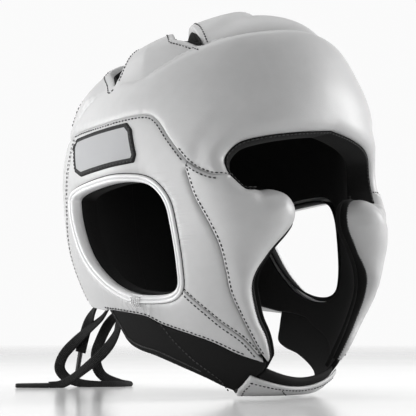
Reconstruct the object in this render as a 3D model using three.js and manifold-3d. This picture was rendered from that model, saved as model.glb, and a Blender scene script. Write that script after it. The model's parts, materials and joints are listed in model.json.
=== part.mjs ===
// Padded leather head guard for mixed martial arts, in millimetres with +Z up.
// The face looks along -Y and the wearer's right is -X. The origin is the crown seat,
// where the top of the head meets the inside of the lining.
import * as THREE from 'three';
import { mergeVertices } from 'three/addons/utils/BufferGeometryUtils.js';
import Module from 'manifold-3d';

// Level sections of the outer form, from the crown down. Each has its height, the place of
// its centre along Y, its reach to the side, front and back, and the depth of the padding
// at the front, side and back.
const FORM = [
  { z: 27, centre: -36, side: 0, front: 0, back: 0, padFront: 18, padSide: 18, padBack: 18 },
  { z: 24.5, centre: -35, side: 20, front: 25, back: 25, padFront: 18, padSide: 18, padBack: 18 },
  { z: 17.5, centre: -31, side: 40, front: 46, back: 46, padFront: 18, padSide: 18, padBack: 18 },
  { z: 2, centre: -18, side: 66, front: 74, back: 74, padFront: 18, padSide: 17, padBack: 17 },
  { z: -17, centre: -7, side: 83, front: 95, back: 96, padFront: 19, padSide: 16, padBack: 16 },
  { z: -40, centre: 0, side: 95, front: 110, back: 111, padFront: 21, padSide: 15, padBack: 15 },
  { z: -74, centre: 2, side: 102, front: 115, back: 116, padFront: 21, padSide: 15, padBack: 15 },
  { z: -105, centre: 3, side: 102, front: 122, back: 112, padFront: 25, padSide: 15, padBack: 15 },
  { z: -135, centre: 3, side: 100, front: 124, back: 104, padFront: 24, padSide: 14, padBack: 13 },
  { z: -162, centre: 3, side: 92, front: 119, back: 91, padFront: 14, padSide: 10, padBack: 10 },
  { z: -185, centre: 3, side: 80, front: 108, back: 78, padFront: 8, padSide: 6, padBack: 7 },
  { z: -207, centre: 3, side: 68, front: 97, back: 69, padFront: 6, padSide: 4, padBack: 5 },
  { z: -221, centre: 3, side: 61, front: 84, back: 63, padFront: 4, padSide: 4, padBack: 4 },
  { z: -228.5, centre: 3, side: 56, front: 70, back: 59, padFront: 4, padSide: 4, padBack: 4 },
  { z: -230, centre: 3, side: 46, front: 46, back: 52, padFront: 4, padSide: 4, padBack: 4 },
];
const SECTION_POWER = 2.15;       // 2 would make each section a plain oval
const GAP = 0.3;                  // between touching pieces
const SEAM_GAP = 0.2;             // each panel stops this far short of its seam
const LINING = 2.5;               // thickness of the black lining
const LINING_SHOWS = 2.2;         // degrees that the lining stands past the cheek pads
const STRETCH_PANEL = { outer: 0.6, inner: 4 };  // depths of the black jaw panel and chin band
const CHEEK_ROLL = 20;            // width over which a cheek pad rounds down to its rim
const CHEEK_RIM = 3;              // padding left at that rim
const EAR_BORDER = { proud: 2, wall: 4.5 };
const BINDING = { depth: 9, drop: 2.7, width: 5, height: 4.5 };
const LABEL_THICK = 1.5;
const TAB_THICK = 2.2;

// Seams and edges of the wearer's right side as [degrees round from the front, height].
const BROW_EDGE = [[0, -60], [13, -63], [24, -66], [34, -70], [38, -75], [40, -82], [40.6, -92]];
const SIDE_SEAM = [[40.6, -94], [46, -92.5], [52, -85], [59, -70], [65, -56], [71, -51], [84, -51.2],
  [96, -52.4], [118, -53]];
const CHEEK_SEAM = [[53, -90], [50, -106], [45.5, -122], [42, -137], [40, -152], [38, -167],
  [33, -184], [27, -200], [22, -209]];
const CHEEK_EDGE = [[22, -209], [23, -203], [26, -190], [29, -177], [30.5, -164], [30, -155],
  [25, -144], [17, -129], [13, -118], [13, -108], [16, -99], [22, -96.5], [29, -99], [34, -96],
  [38, -91.5]];
const EAR_HOLE = [[111, -95], [95, -90.5], [80, -89], [68, -93], [60.5, -106], [57.5, -125], [56, -150],
  [57, -166], [64, -172.5], [78, -171], [91, -162.5], [102, -146], [109, -124], [113, -106]];
const LAP_SEAM = [[24, -208], [26.5, -204.5], [33, -194], [41, -185], [48, -176], [56, -166]];
const JAW_EDGE = [[101, -175], [88, -177], [77, -180], [68, -186], [54, -192], [44, -197], [34, -204],
  [24, -209]];
const NECK_EDGE = [[34, -228], [40, -225], [50, -219], [62, -213], [78, -206], [90, -202], [97, -197],
  [99, -188], [101, -175]];
const NECK_FRONT = [[22.5, -210], [23, -214], [27, -221], [34, -228]];
const LINING_EDGE = [[22, -206], [34, -201], [54, -189], [77, -177], [101, -172], [130, -168], [180, -163]];
const BACK_PAD = { outer: 118, inner: 176.5, top: [-53, -56], bottom: [-171, -163] };
const LABEL_OUTLINE = [[114, -64], [112, -58], [79, -55], [76, -60], [73, -77], [74, -82], [104, -86],
  [109, -82]];
// Bands of the chin: height of the top edge at the middle and ends, height of the lower edge,
// and degrees of each end at its top and foot.
const CHIN_BAND = { middle: -221.5, right: -214, left: -214, low: -229.8, rightEnd: [22, 31],
  leftEnd: [-22, -31] };
const CHIN_TAB = { middle: -224.5, right: -216.5, left: -214, low: -228.8, rightEnd: [28, 32],
  leftEnd: [-27, -31] };

// Slots that part the crown into tabs, seen from above on the wearer's right: the tip at the
// rim of the crown, and the widest gap. They run in to an open middle.
const CROWN_MIDDLE = { y: 48, x_reach: 16, y_reach: 22 };
const CROWN_SLOTS = [
  { tipX: 63, tipY: -50, width: 11 },
  { tipX: 85, tipY: 14, width: 12 },
  { tipX: 80, tipY: 66, width: 10 },
];
const SLOT_TAPER = 30;            // length over which a slot opens from its tip

// Flat black lace of the back: bars across the laced gap, a knot, a loop and two free ends.
const LACE = { width: 3, thick: 2, steps: 18, sides: 8 };
const LACE_BAR = { halfAngle: 3.15, halfHeight: 3.8, depth: 1.5, thick: 1.8 };
const LACE_BAR_HEIGHTS = [-68, -88, -107, -126, -145];
const KNOT = { x: 0, y: 99.6, z: -157.6, halfX: 7, halfY: 4.5, halfZ: 5.5 };
const LACE_LOOP = [
  [-4.4, 102.8, -160.4], [-10, 113, -168], [-12, 122, -178], [-15, 135, -187], [-19, 148, -197],
  [-24, 156, -207], [-27, 157, -217], [-25, 151, -224.5], [-19, 141, -228.5], [-10, 131, -230],
  [1, 124, -230], [12, 124, -230], [20, 131, -230], [20, 143, -229.5], [12, 151, -225], [5, 151, -217],
  [0, 146, -206], [-2, 138, -196], [-3, 127, -184], [-1, 114, -172], [1.4, 104.2, -162.1]];
const LACE_SHORT = [[-7, 102.4, -156.4], [-12, 112, -158.5], [-15, 120, -164.5], [-15, 128, -172],
  [-14, 136, -180], [-13, 142, -188], [-13, 145.5, -196], [-14, 147.5, -205]];
const LACE_LONG = [[-2.4, 100, -163.1], [-6.5, 102.5, -171], [-10, 104, -180], [-13, 102, -189],
  [-16, 107, -199], [-20, 117, -209], [-25, 127, -217.5], [-31, 134, -224.5], [-38, 139, -229],
  [-46, 143, -230]];
const LACE_TIP = { radius: 1.5, sides: 8, gap: 0.3 };
const SHORT_TIP_END = [-17, 149.5, -229.8];
const LONG_TIP_END = [-68, 156, -230];

const DEGREE = Math.PI / 180;
const MM_PER_DEGREE = 1.85;       // along the sides, for distances between [degrees, height] points
const OUTSIDE = -90;              // depth well outside the form
const INSIDE = 42;                // depth well inside the padding

const wasm = await Module();
wasm.setup();

// Sections of the form, smoothly joined: row numbers run from the crown down.
function sectionAt(row) {
  const last = FORM.length - 1;
  const below = Math.min(Math.floor(row), last - 1);
  const s = row - below;
  const first = FORM[below];
  const second = FORM[below + 1];
  const section = {};
  for (const key of Object.keys(first)) {
    const p1 = first[key];
    const p2 = second[key];
    const p0 = below > 0 ? FORM[below - 1][key] : 2 * p1 - p2;
    const p3 = below < last - 1 ? FORM[below + 2][key] : 2 * p2 - p1;
    section[key] = 0.5 * (2 * p1 + (p2 - p0) * s + (2 * p0 - 5 * p1 + 4 * p2 - p3) * s * s
      + (3 * p1 - p0 - 3 * p2 + p3) * s * s * s);
  }
  return section;
}

function rowAt(z) {
  let high = 0;
  let low = FORM.length - 1;
  for (let i = 0; i < 40; i += 1) {
    const middle = (high + low) / 2;
    if (sectionAt(middle).z > z) high = middle;
    else low = middle;
  }
  return (high + low) / 2;
}

function formPoint(degrees, row) {
  const section = sectionAt(row);
  const ahead = Math.cos(degrees * DEGREE);
  const aside = Math.sin(degrees * DEGREE);
  const along = Math.max(ahead > 0 ? section.front : section.back, 1e-4);
  const across = Math.max(section.side, 1e-4);
  const reach = ((Math.abs(ahead) / along) ** SECTION_POWER
    + (Math.abs(aside) / across) ** SECTION_POWER) ** (-1 / SECTION_POWER);
  return new THREE.Vector3(-reach * aside, section.centre - reach * ahead, section.z);
}

function formNormal(degrees, row) {
  const step = 0.02;
  if (row < step) return new THREE.Vector3(0, 0, 1);
  const last = FORM.length - 1;
  const down = formPoint(degrees, Math.min(row + step, last)).sub(formPoint(degrees, row - step));
  const round = formPoint(degrees + 1, row).sub(formPoint(degrees - 1, row));
  return round.cross(down).normalize();
}

function skin(degrees, row, depth) {
  return formPoint(degrees, row).addScaledVector(formNormal(degrees, row), -depth);
}

function padding(degrees, row) {
  const section = sectionAt(row);
  const ahead = Math.cos(degrees * DEGREE);
  const along = ahead > 0 ? section.padFront : section.padBack;
  return along * ahead * ahead + section.padSide * (1 - ahead * ahead);
}

// Smooth line through [degrees, height] points, for one side of the head.
function seam(points, side = 1, samples = 1) {
  const curve = new THREE.SplineCurve(points.map(([a, z]) => new THREE.Vector2(a * side, z)));
  return curve.getPoints((points.length - 1) * samples);
}

function loop(points, side = 1, samples = 2) {
  const knots = points.map(([a, z]) => new THREE.Vector3(a * side, z, 0));
  const curve = new THREE.CatmullRomCurve3(knots, true);
  return curve.getPoints(points.length * samples).slice(0, -1).map((p) => new THREE.Vector2(p.x, p.y));
}

function plain(points, side = 1) {
  return points.map(([a, z]) => new THREE.Vector2(a * side, z));
}

// An outline drawn in by a distance, without its repeated points.
function inset(outline, distance) {
  const flat = outline.map((p) => new THREE.Vector2(p.x * MM_PER_DEGREE, p.y))
    .filter((p, i, all) => p.distanceTo(all[(i + 1) % all.length]) > 0.05);
  const turn = Math.sign(THREE.ShapeUtils.area(flat));
  return flat.map((p, i) => {
    const before = flat[(i + flat.length - 1) % flat.length];
    const after = flat[(i + 1) % flat.length];
    const along = after.clone().sub(before).normalize();
    const inward = new THREE.Vector2(-along.y, along.x).multiplyScalar(turn * distance);
    return p.clone().add(inward).setX((p.x + inward.x) / MM_PER_DEGREE);
  });
}

// Closed triangles to a geometry with shared corners and faces that point out.
function closedGeometry(triangles) {
  const soup = new THREE.BufferGeometry();
  soup.setAttribute('position', new THREE.Float32BufferAttribute(triangles.flatMap((p) => p.toArray()), 3));
  const geometry = mergeVertices(soup, 1e-4);
  const place = geometry.getAttribute('position');
  const corner = (i) => new THREE.Vector3().fromBufferAttribute(place, i);
  const kept = [];
  let volume = 0;
  for (let i = 0; i < geometry.index.count; i += 3) {
    const [a, b, c] = [0, 1, 2].map((k) => geometry.index.getX(i + k));
    if (a === b || b === c || c === a) continue;
    volume += corner(a).dot(corner(b).cross(corner(c)));
    kept.push([a, b, c]);
  }
  geometry.setIndex(kept.flatMap(([a, b, c]) => (volume < 0 ? [a, c, b] : [a, b, c])));
  return geometry;
}

function solidFrom(geometry) {
  const bare = geometry.clone();
  bare.deleteAttribute('normal');
  bare.deleteAttribute('uv');
  const merged = mergeVertices(bare, 1e-4);
  return new wasm.Manifold(new wasm.Mesh({
    numProp: 3,
    vertProperties: new Float32Array(merged.getAttribute('position').array),
    triVerts: new Uint32Array(merged.index.array),
  }));
}

function geometryFrom(solid) {
  const { vertProperties, triVerts } = solid.getMesh();
  const geometry = new THREE.BufferGeometry();
  geometry.setAttribute('position', new THREE.BufferAttribute(vertProperties, 3));
  geometry.setIndex(new THREE.BufferAttribute(triVerts, 1));
  geometry.computeVertexNormals();
  return geometry;
}

// A wall of the form between two depths, as a closed grid of columns and rows. Its spots are
// the columns' degrees and the rows' numbers, or what another function makes of them.
function wall(columns, rows, outerDepth, innerDepth, spot = (degrees, row) => [degrees, row]) {
  const round = columns[columns.length - 1] - columns[0] === 360;
  const layer = (depth) => rows.map((row) => columns.map((column) => {
    const [a, r] = spot(column, row);
    return skin(a, r, depth(a, r));
  }));
  const outer = layer(outerDepth);
  const inner = layer(innerDepth);
  const triangles = [];
  const quad = (a, b, c, d) => triangles.push(a, b, c, a, c, d);
  for (let r = 0; r + 1 < rows.length; r += 1) {
    for (let c = 0; c + 1 < columns.length; c += 1) {
      quad(outer[r][c], outer[r][c + 1], outer[r + 1][c + 1], outer[r + 1][c]);
      quad(inner[r][c], inner[r + 1][c], inner[r + 1][c + 1], inner[r][c + 1]);
    }
    if (!round) {
      const end = columns.length - 1;
      quad(outer[r][0], outer[r + 1][0], inner[r + 1][0], inner[r][0]);
      quad(outer[r][end], inner[r][end], inner[r + 1][end], outer[r + 1][end]);
    }
  }
  const last = rows.length - 1;
  for (let c = 0; c + 1 < columns.length; c += 1) {
    quad(outer[0][c], inner[0][c], inner[0][c + 1], outer[0][c + 1]);
    quad(outer[last][c], outer[last][c + 1], inner[last][c + 1], inner[last][c]);
  }
  return solidFrom(closedGeometry(triangles));
}

// A plug square to the form, through its whole wall, with a closed outline.
function plug(outline) {
  const turned = THREE.ShapeUtils.area(outline) < 0 ? [...outline].reverse() : outline;
  const rows = turned.map((p) => rowAt(p.y));
  const outer = turned.map((p, i) => skin(p.x, rows[i], OUTSIDE));
  const inner = turned.map((p, i) => skin(p.x, rows[i], INSIDE));
  const triangles = [];
  for (const [a, b, c] of THREE.ShapeUtils.triangulateShape(turned, [])) {
    const area = THREE.ShapeUtils.area([turned[a], turned[b], turned[c]]);
    const [p, q, r] = area > 0 ? [a, b, c] : [a, c, b];
    triangles.push(outer[p], outer[q], outer[r], inner[p], inner[r], inner[q]);
  }
  for (let i = 0; i < turned.length; i += 1) {
    const next = (i + 1) % turned.length;
    if (turned[i].y > turned[next].y) {
      triangles.push(outer[i], inner[i], outer[next], inner[i], inner[next], outer[next]);
    } else {
      triangles.push(outer[i], inner[i], inner[next], outer[i], inner[next], outer[next]);
    }
  }
  return solidFrom(closedGeometry(triangles));
}

// Everything below an edge that runs right round the head, given from -180 to 180 degrees.
function belowEdge(edge, floor) {
  const floorRow = rowAt(floor);
  const corners = edge.map((p) => {
    const row = rowAt(p.y);
    return [skin(p.x, row, OUTSIDE), skin(p.x, row, INSIDE), skin(p.x, floorRow, INSIDE),
      skin(p.x, floorRow, OUTSIDE)];
  });
  const triangles = [];
  for (let i = 0; i + 1 < corners.length; i += 1) {
    const falls = edge[i].y > edge[i + 1].y;
    for (let k = 0; k < 4; k += 1) {
      const [a, b] = [corners[i][k], corners[i + 1][k]];
      const [c, d] = [corners[i + 1][(k + 1) % 4], corners[i][(k + 1) % 4]];
      if (falls) triangles.push(a, b, d, b, c, d);
      else triangles.push(a, b, c, a, c, d);
    }
  }
  return solidFrom(closedGeometry(triangles));
}

// Columns are closer round the face, where the form bends most.
const ROUND_COLUMNS = [];
for (let a = -180; a < 180; a += Math.abs(a + 0.1) < 60 ? 12 : 15) ROUND_COLUMNS.push(a);
ROUND_COLUMNS.push(180);
const rowsBetween = (top, bottom, count) => {
  const [from, to] = [rowAt(top), rowAt(bottom)];
  return Array.from({ length: count + 1 }, (_, i) => from + (to - from) * i / count);
};
const HEAD_ROWS = [0, 1, 1.9, 2.7, 3.6, 4.5, 5.5, 7, 8, 9, 10, 11.1];
const CROWN_ROWS = HEAD_ROWS.filter((row) => row <= 7);
const PAD_ROWS = HEAD_ROWS.filter((row) => row >= 4.5);

// Cheek pads round down to their rim along the face opening.
const CHEEK_RIM_LINE = seam(CHEEK_EDGE, 1, 6).filter((p) => p.y < -97);
function cheekDepth(degrees, row) {
  const here = new THREE.Vector2(Math.abs(degrees) * MM_PER_DEGREE, sectionAt(row).z);
  let nearest = CHEEK_ROLL;
  for (const p of CHEEK_RIM_LINE) {
    nearest = Math.min(nearest, here.distanceTo(new THREE.Vector2(p.x * MM_PER_DEGREE, p.y)));
  }
  const rise = Math.sqrt(1 - (1 - nearest / CHEEK_ROLL) ** 2);
  return (padding(degrees, row) - CHEEK_RIM) * (1 - rise);
}

const padWall = wall(ROUND_COLUMNS, PAD_ROWS, () => 0, padding);
const crownWall = wall(ROUND_COLUMNS, CROWN_ROWS, () => 0, padding);
const stretchWall = wall(ROUND_COLUMNS, rowsBetween(-170, -229.95, 7),
  () => STRETCH_PANEL.outer, () => STRETCH_PANEL.inner);
const earHole = (side, distance) => plug(inset(loop(EAR_HOLE, side), distance));

function lining() {
  const depth = (a, row) => padding(a, row) + GAP;
  const shell = wall(ROUND_COLUMNS, HEAD_ROWS, depth, (a, row) => depth(a, row) + LINING);
  const lower = seam(LINING_EDGE);
  const chin = [new THREE.Vector2(0, -206)];
  const edge = [...lower].reverse().map((p) => new THREE.Vector2(-p.x, p.y)).concat(chin, lower);
  const rim = (side) => [...seam(BROW_EDGE, side), ...[...seam(CHEEK_EDGE, side)].reverse()
    .map((p) => new THREE.Vector2(p.x - side * LINING_SHOWS, p.y))];
  const face = [...rim(1), ...[...rim(-1)].reverse()];
  return shell.subtract(belowEdge(edge, -230)).subtract(plug(inset(face, 0)))
    .subtract(earHole(1, -1)).subtract(earHole(-1, -1));
}

function crownPad() {
  const lift = (p) => new THREE.Vector2(p.x, p.y + SEAM_GAP);
  const half = [...seam(BROW_EDGE), ...seam(SIDE_SEAM), new THREE.Vector2(150, BACK_PAD.top[0]),
    new THREE.Vector2(180, BACK_PAD.top[1])].map(lift);
  const other = half.slice(1).reverse().map((p) => new THREE.Vector2(-p.x, p.y));
  let pad = crownWall.subtract(belowEdge([...other, ...half], -125));
  for (const outline of crownOpenings()) {
    const cut = new THREE.ExtrudeGeometry(outline, { depth: 100, bevelEnabled: false, curveSegments: 4 });
    pad = pad.subtract(solidFrom(cut.translate(0, 0, -46)));
  }
  return pad;
}

// The open middle of the crown and its slots, as outlines seen from above.
function crownOpenings() {
  const { y, x_reach: xReach, y_reach: yReach } = CROWN_MIDDLE;
  const outlines = [new THREE.Shape().absellipse(0, y, xReach, yReach, 0, 2 * Math.PI)];
  for (const side of [-1, 1]) {
    for (const { tipX, tipY, width } of CROWN_SLOTS) {
      const tip = new THREE.Vector2(side * tipX, tipY);
      const end = new THREE.Vector2(0, y);
      const along = end.clone().sub(tip).normalize();
      const across = new THREE.Vector2(-along.y, along.x).multiplyScalar(width / 2);
      const wide = tip.clone().addScaledVector(along, SLOT_TAPER);
      outlines.push(new THREE.Shape([tip, wide.clone().sub(across), end.clone().sub(across),
        end.clone().add(across), wide.clone().add(across)]));
    }
  }
  return outlines;
}

function earPanel(side) {
  const outline = [...seam(SIDE_SEAM, side).filter((p) => Math.abs(p.x) > 53.5).reverse(),
    ...seam(CHEEK_SEAM, side).filter((p) => p.y > -190),
    ...seam(LAP_SEAM, side).filter((p) => p.y > -193),
    ...plain([[70, -150], [95, -152], [101, -175], [BACK_PAD.outer, BACK_PAD.bottom[0]]], side)];
  return padWall.intersect(plug(inset(outline, SEAM_GAP))).subtract(earHole(side, 0));
}

function earBorder(side) {
  const columns = [];
  for (let a = 50; a <= 120; a += 14) columns.push(a * side);
  const sleeve = wall(columns, rowsBetween(-80, -182, 5), () => -EAR_BORDER.proud,
    (a, row) => padding(a, row) + GAP + LINING);
  return sleeve.intersect(earHole(side, GAP)).subtract(earHole(side, EAR_BORDER.wall));
}

function cheekPad(side) {
  const columns = [];
  for (let a = 9; a <= 57; a += 4) columns.push(a * side);
  const pad = wall(columns, rowsBetween(-86, -212, 14), cheekDepth, (a, row) => padding(a, row) - GAP);
  const top = seam(SIDE_SEAM, side).filter((p) => Math.abs(p.x) < 52);
  const outline = [...top, ...seam(CHEEK_SEAM, side), ...seam(CHEEK_EDGE, side)];
  return pad.intersect(plug(inset(outline, SEAM_GAP)));
}

function jawPanel(side) {
  const outline = [...plain([[95, -152]], side), ...seam(JAW_EDGE, side), ...seam(LAP_SEAM, side),
    ...plain([[70, -150]], side)];
  return padWall.intersect(plug(inset(outline, SEAM_GAP))).subtract(earHole(side, 0));
}

function neckPanel(side) {
  const outline = [...seam(JAW_EDGE, side), ...seam(NECK_FRONT, side), ...seam(NECK_EDGE, side)];
  const { rightEnd, leftEnd } = CHIN_BAND;
  const room = {
    ...CHIN_BAND,
    rightEnd: rightEnd.map((a) => a + GAP),
    leftEnd: leftEnd.map((a) => a - GAP),
  };
  const band = chinStrip(room, STRETCH_PANEL.outer - 1, STRETCH_PANEL.inner + 1);
  return stretchWall.intersect(plug(inset(outline, SEAM_GAP))).subtract(band);
}

function backPad(side) {
  const { outer, inner, top, bottom } = BACK_PAD;
  const outline = plain([[outer, top[0]], [150, top[0]], [inner, top[1]], [inner, bottom[1]],
    [150, (bottom[0] + bottom[1]) / 2], [outer, bottom[0]]], side);
  return padWall.intersect(plug(inset(outline, SEAM_GAP)));
}

function browBinding() {
  const half = seam(BROW_EDGE);
  const edge = [...half.slice(1).reverse().map((p) => new THREE.Vector2(-p.x, p.y)), ...half];
  const line = inset(edge, BINDING.drop).slice(1, -1);
  const points = line.map((p) => skin(p.x, rowAt(p.y), BINDING.depth));
  return tube(points, BINDING.width, BINDING.height, 6, 16);
}

// A band across the chin, from end to end (-1 to 1) and from its top edge to its lower edge.
function chinStrip({ middle, right, left, low, rightEnd, leftEnd }, outer, inner) {
  const across = Array.from({ length: 9 }, (_, i) => i / 4 - 1);
  const down = [0, 0.3, 0.6, 0.8, 1];
  const lowRow = rowAt(low);
  const spot = (u, v) => {
    const rise = (u > 0 ? right : left) - middle;
    const [top, bottom] = u > 0 ? rightEnd : leftEnd;
    const end = top + (bottom - top) * Math.min(v / 0.6, 1);
    return [Math.abs(u) * end, THREE.MathUtils.lerp(rowAt(middle + rise * u * u), lowRow, v)];
  };
  return wall(across, down, () => outer, () => inner, spot);
}

function labelPatch() {
  const columns = [];
  for (let a = 66; a <= 122; a += 8) columns.push(a);
  const patch = wall(columns, rowsBetween(-50, -92, 4), () => -GAP - LABEL_THICK, () => -GAP);
  return patch.intersect(plug(plain(LABEL_OUTLINE)));
}

function laceBar(height) {
  const { halfAngle, halfHeight, depth, thick } = LACE_BAR;
  const columns = [-halfAngle, 0, halfAngle].map((a) => 180 + a);
  return wall(columns, rowsBetween(height + halfHeight, height - halfHeight, 1), () => depth,
    () => depth + thick);
}

// A closed tube of oval section along a smooth line.
function tube(points, width, height, sides, steps) {
  const section = new THREE.Shape();
  for (let i = 0; i < sides; i += 1) {
    const turn = 2 * Math.PI * i / sides;
    const [x, y] = [width / 2 * Math.cos(turn), height / 2 * Math.sin(turn)];
    if (i === 0) section.moveTo(x, y);
    else section.lineTo(x, y);
  }
  section.closePath();
  const extrudePath = new THREE.CatmullRomCurve3(points, false, 'centripetal');
  const geometry = new THREE.ExtrudeGeometry(section, { steps, extrudePath, bevelEnabled: false });
  return geometry;
}

const place = ([x, y, z]) => new THREE.Vector3(x, y, z);
const lace = (route) => tube(route.map(place), LACE.width, LACE.thick, LACE.sides, LACE.steps);

// The stiff tip on a lace's free end, from just past the lace to its own end.
function laceTip(route, end) {
  const last = place(route[route.length - 1]);
  const reach = place(end).sub(last);
  const length = reach.length() - LACE_TIP.gap;
  const direction = reach.normalize();
  const tip = new THREE.CylinderGeometry(LACE_TIP.radius, LACE_TIP.radius, length, LACE_TIP.sides);
  const turn = new THREE.Quaternion().setFromUnitVectors(new THREE.Vector3(0, 1, 0), direction);
  const middle = place(end).addScaledVector(direction, -length / 2);
  return tip.applyQuaternion(turn).translate(middle.x, middle.y, middle.z);
}

function laceKnot() {
  const { x, y, z, halfX, halfY, halfZ } = KNOT;
  return new THREE.SphereGeometry(1, 10, 6).scale(halfX, halfY, halfZ).translate(x, y, z);
}

const finish = (color, roughness) => new THREE.MeshStandardMaterial({ color, roughness, metalness: 0 });
const LEATHER = [0xc9cacb, 0.45];
const WHITE_EDGE = [0xf2f2f2, 0.3];
const BLACK_CLOTH = [0x17171a, 0.85];
const LACE_BLACK = [0x121213, 0.7];
const PATCH = [0xb9bcc2, 0.7];

const headgear = new THREE.Group();
function add(name, shape, [color, roughness]) {
  const geometry = shape.isBufferGeometry ? shape : geometryFrom(shape);
  const mesh = new THREE.Mesh(geometry, finish(color, roughness));
  mesh.name = name;
  headgear.add(mesh);
}

add('lining', lining(), BLACK_CLOTH);
add('crown_pad', crownPad(), LEATHER);
add('brow_binding', browBinding(), BLACK_CLOTH);
for (const [word, side] of [['right', 1], ['left', -1]]) {
  add(`ear_panel_${word}`, earPanel(side), LEATHER);
  add(`ear_border_${word}`, earBorder(side), WHITE_EDGE);
  add(`cheek_pad_${word}`, cheekPad(side), LEATHER);
  add(`jaw_panel_${word}`, jawPanel(side), LEATHER);
  add(`neck_panel_${word}`, neckPanel(side), BLACK_CLOTH);
  add(`back_pad_${word}`, backPad(side), LEATHER);
}
const { outer, inner } = STRETCH_PANEL;
add('chin_strap', chinStrip(CHIN_BAND, outer, inner), BLACK_CLOTH);
add('chin_tab', chinStrip(CHIN_TAB, outer - GAP - TAB_THICK, outer - GAP), LEATHER);
add('label_patch', labelPatch(), PATCH);
LACE_BAR_HEIGHTS.forEach((height, i) => add(`lace_bar_${i + 1}`, laceBar(height), LACE_BLACK));
add('lace_knot', laceKnot(), LACE_BLACK);
add('lace_loop', lace(LACE_LOOP), LACE_BLACK);
add('lace_end_short', lace(LACE_SHORT), LACE_BLACK);
add('lace_end_long', lace(LACE_LONG), LACE_BLACK);
add('lace_tip_short', laceTip(LACE_SHORT, SHORT_TIP_END), LACE_BLACK);
add('lace_tip_long', laceTip(LACE_LONG, LONG_TIP_END), LACE_BLACK);

export default headgear;
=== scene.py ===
# %% [markdown]
# A head guard for mixed martial arts: foam pads sewn into pale leather over a black lining, with
# cheek pads, big ear openings, a stretch panel under the jaw, a chin strap and a lace at the back.
# First we load the frame that the solids and this lesson share, so that each piece made here lies
# where its solid does.

# %% Load the shared frame
import json
import math

import bmesh
import bpy
import numpy as np
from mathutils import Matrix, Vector
from mathutils.geometry import delaunay_2d_cdt

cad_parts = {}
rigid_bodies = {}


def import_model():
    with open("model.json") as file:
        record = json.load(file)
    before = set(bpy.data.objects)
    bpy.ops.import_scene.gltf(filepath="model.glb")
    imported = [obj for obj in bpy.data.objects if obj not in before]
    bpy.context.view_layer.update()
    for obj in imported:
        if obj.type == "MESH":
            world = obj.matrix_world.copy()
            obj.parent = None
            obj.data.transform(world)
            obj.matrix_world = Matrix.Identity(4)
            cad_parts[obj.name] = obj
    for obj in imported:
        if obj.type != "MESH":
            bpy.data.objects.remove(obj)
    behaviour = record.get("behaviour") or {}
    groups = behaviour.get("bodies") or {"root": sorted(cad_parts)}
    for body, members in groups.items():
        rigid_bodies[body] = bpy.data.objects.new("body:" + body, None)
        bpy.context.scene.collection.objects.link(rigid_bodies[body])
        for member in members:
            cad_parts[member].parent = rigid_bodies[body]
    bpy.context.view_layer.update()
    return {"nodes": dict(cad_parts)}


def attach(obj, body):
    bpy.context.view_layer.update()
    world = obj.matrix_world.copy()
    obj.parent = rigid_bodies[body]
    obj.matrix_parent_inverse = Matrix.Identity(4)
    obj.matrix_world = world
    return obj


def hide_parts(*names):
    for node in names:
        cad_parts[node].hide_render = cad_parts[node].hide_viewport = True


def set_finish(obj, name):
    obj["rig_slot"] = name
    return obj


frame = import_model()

print("CAD pieces:", len(frame["nodes"]))

# %% [markdown]
# We look at the guard from a little above the table, in front of the wearer's right side, through a
# long lens. The camera comes first, because everything else is judged through it.

# %% Camera
CAMERA_AT = Vector((-0.54078, -0.58764, -0.18990))
CAMERA_FORWARD = Vector((0.66509, 0.73866, 0.10976))
LENS_MM = 97.96
SENSOR_MM = 36
SEEN_FROM, SEEN_TO = 0.01, 20

lens = bpy.data.cameras.new("photo_camera")
lens.lens = LENS_MM
lens.sensor_width = SENSOR_MM
lens.clip_start, lens.clip_end = SEEN_FROM, SEEN_TO
lens.dof.use_dof = False
camera = bpy.data.objects.new("photo_camera", lens)
camera.location = CAMERA_AT
camera.rotation_mode = "QUATERNION"
camera.rotation_quaternion = CAMERA_FORWARD.to_track_quat("-Z", "Y")
bpy.context.scene.collection.objects.link(camera)
bpy.context.scene.camera = camera
print("camera at", [round(x, 3) for x in camera.location])

# %% [markdown]
# Every piece ends as a mesh that rides on the one rigid body, stands for its CAD solid and takes
# its finish from a slot of the record. Sizes in this lesson are in millimetres, as a pattern
# cutter would write them, and one helper turns them into Blender's metres. Laces, borders and
# bindings are rings of points joined into a tube, so the faces of a tube have a helper too.

# %% Making pieces
MM = 0.001


def piece(name, points, faces, nodes, slot):
    """A mesh from points in millimetres, turned outwards, on the body and in place of its nodes."""
    mesh = bpy.data.meshes.new(name)
    mesh.from_pydata((np.asarray(points) * MM).tolist(), [], [list(map(int, f)) for f in faces])
    mesh.polygons.foreach_set("use_smooth", [True] * len(mesh.polygons))
    shape = bmesh.new()
    shape.from_mesh(mesh)
    if shape.calc_volume(signed=True) < 0:
        mesh.flip_normals()
    shape.free()
    mesh.update()
    made = bpy.data.objects.new(name, mesh)
    bpy.context.scene.collection.objects.link(made)
    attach(made, "root")
    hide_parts(*nodes)
    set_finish(made, slot)
    return made


def tube_faces(rings, sides, closed=False):
    """Faces between rings of points, with a cap at each end unless the last ring meets the first."""
    faces = []
    for i in range(rings if closed else rings - 1):
        j = (i + 1) % rings
        faces += [(i * sides + k, i * sides + (k + 1) % sides, j * sides + (k + 1) % sides, j * sides + k)
                  for k in range(sides)]
    if not closed:
        faces += [tuple(reversed(range(sides))), tuple(range((rings - 1) * sides, rings * sides))]
    return faces


def unit(vectors):
    return vectors / np.maximum(np.linalg.norm(vectors, axis=-1, keepdims=True), 1e-9)


# %% [markdown]
# The lace is a flat braid, tied behind the neck. It leaves one loop and two free ends that fall
# to the table. A limp lace hangs in smooth curves, so each route is a short list of points that
# a smooth line runs through. The braid's flat side turns slowly along it, from facing out at the
# knot to lying flat on the table.

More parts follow.
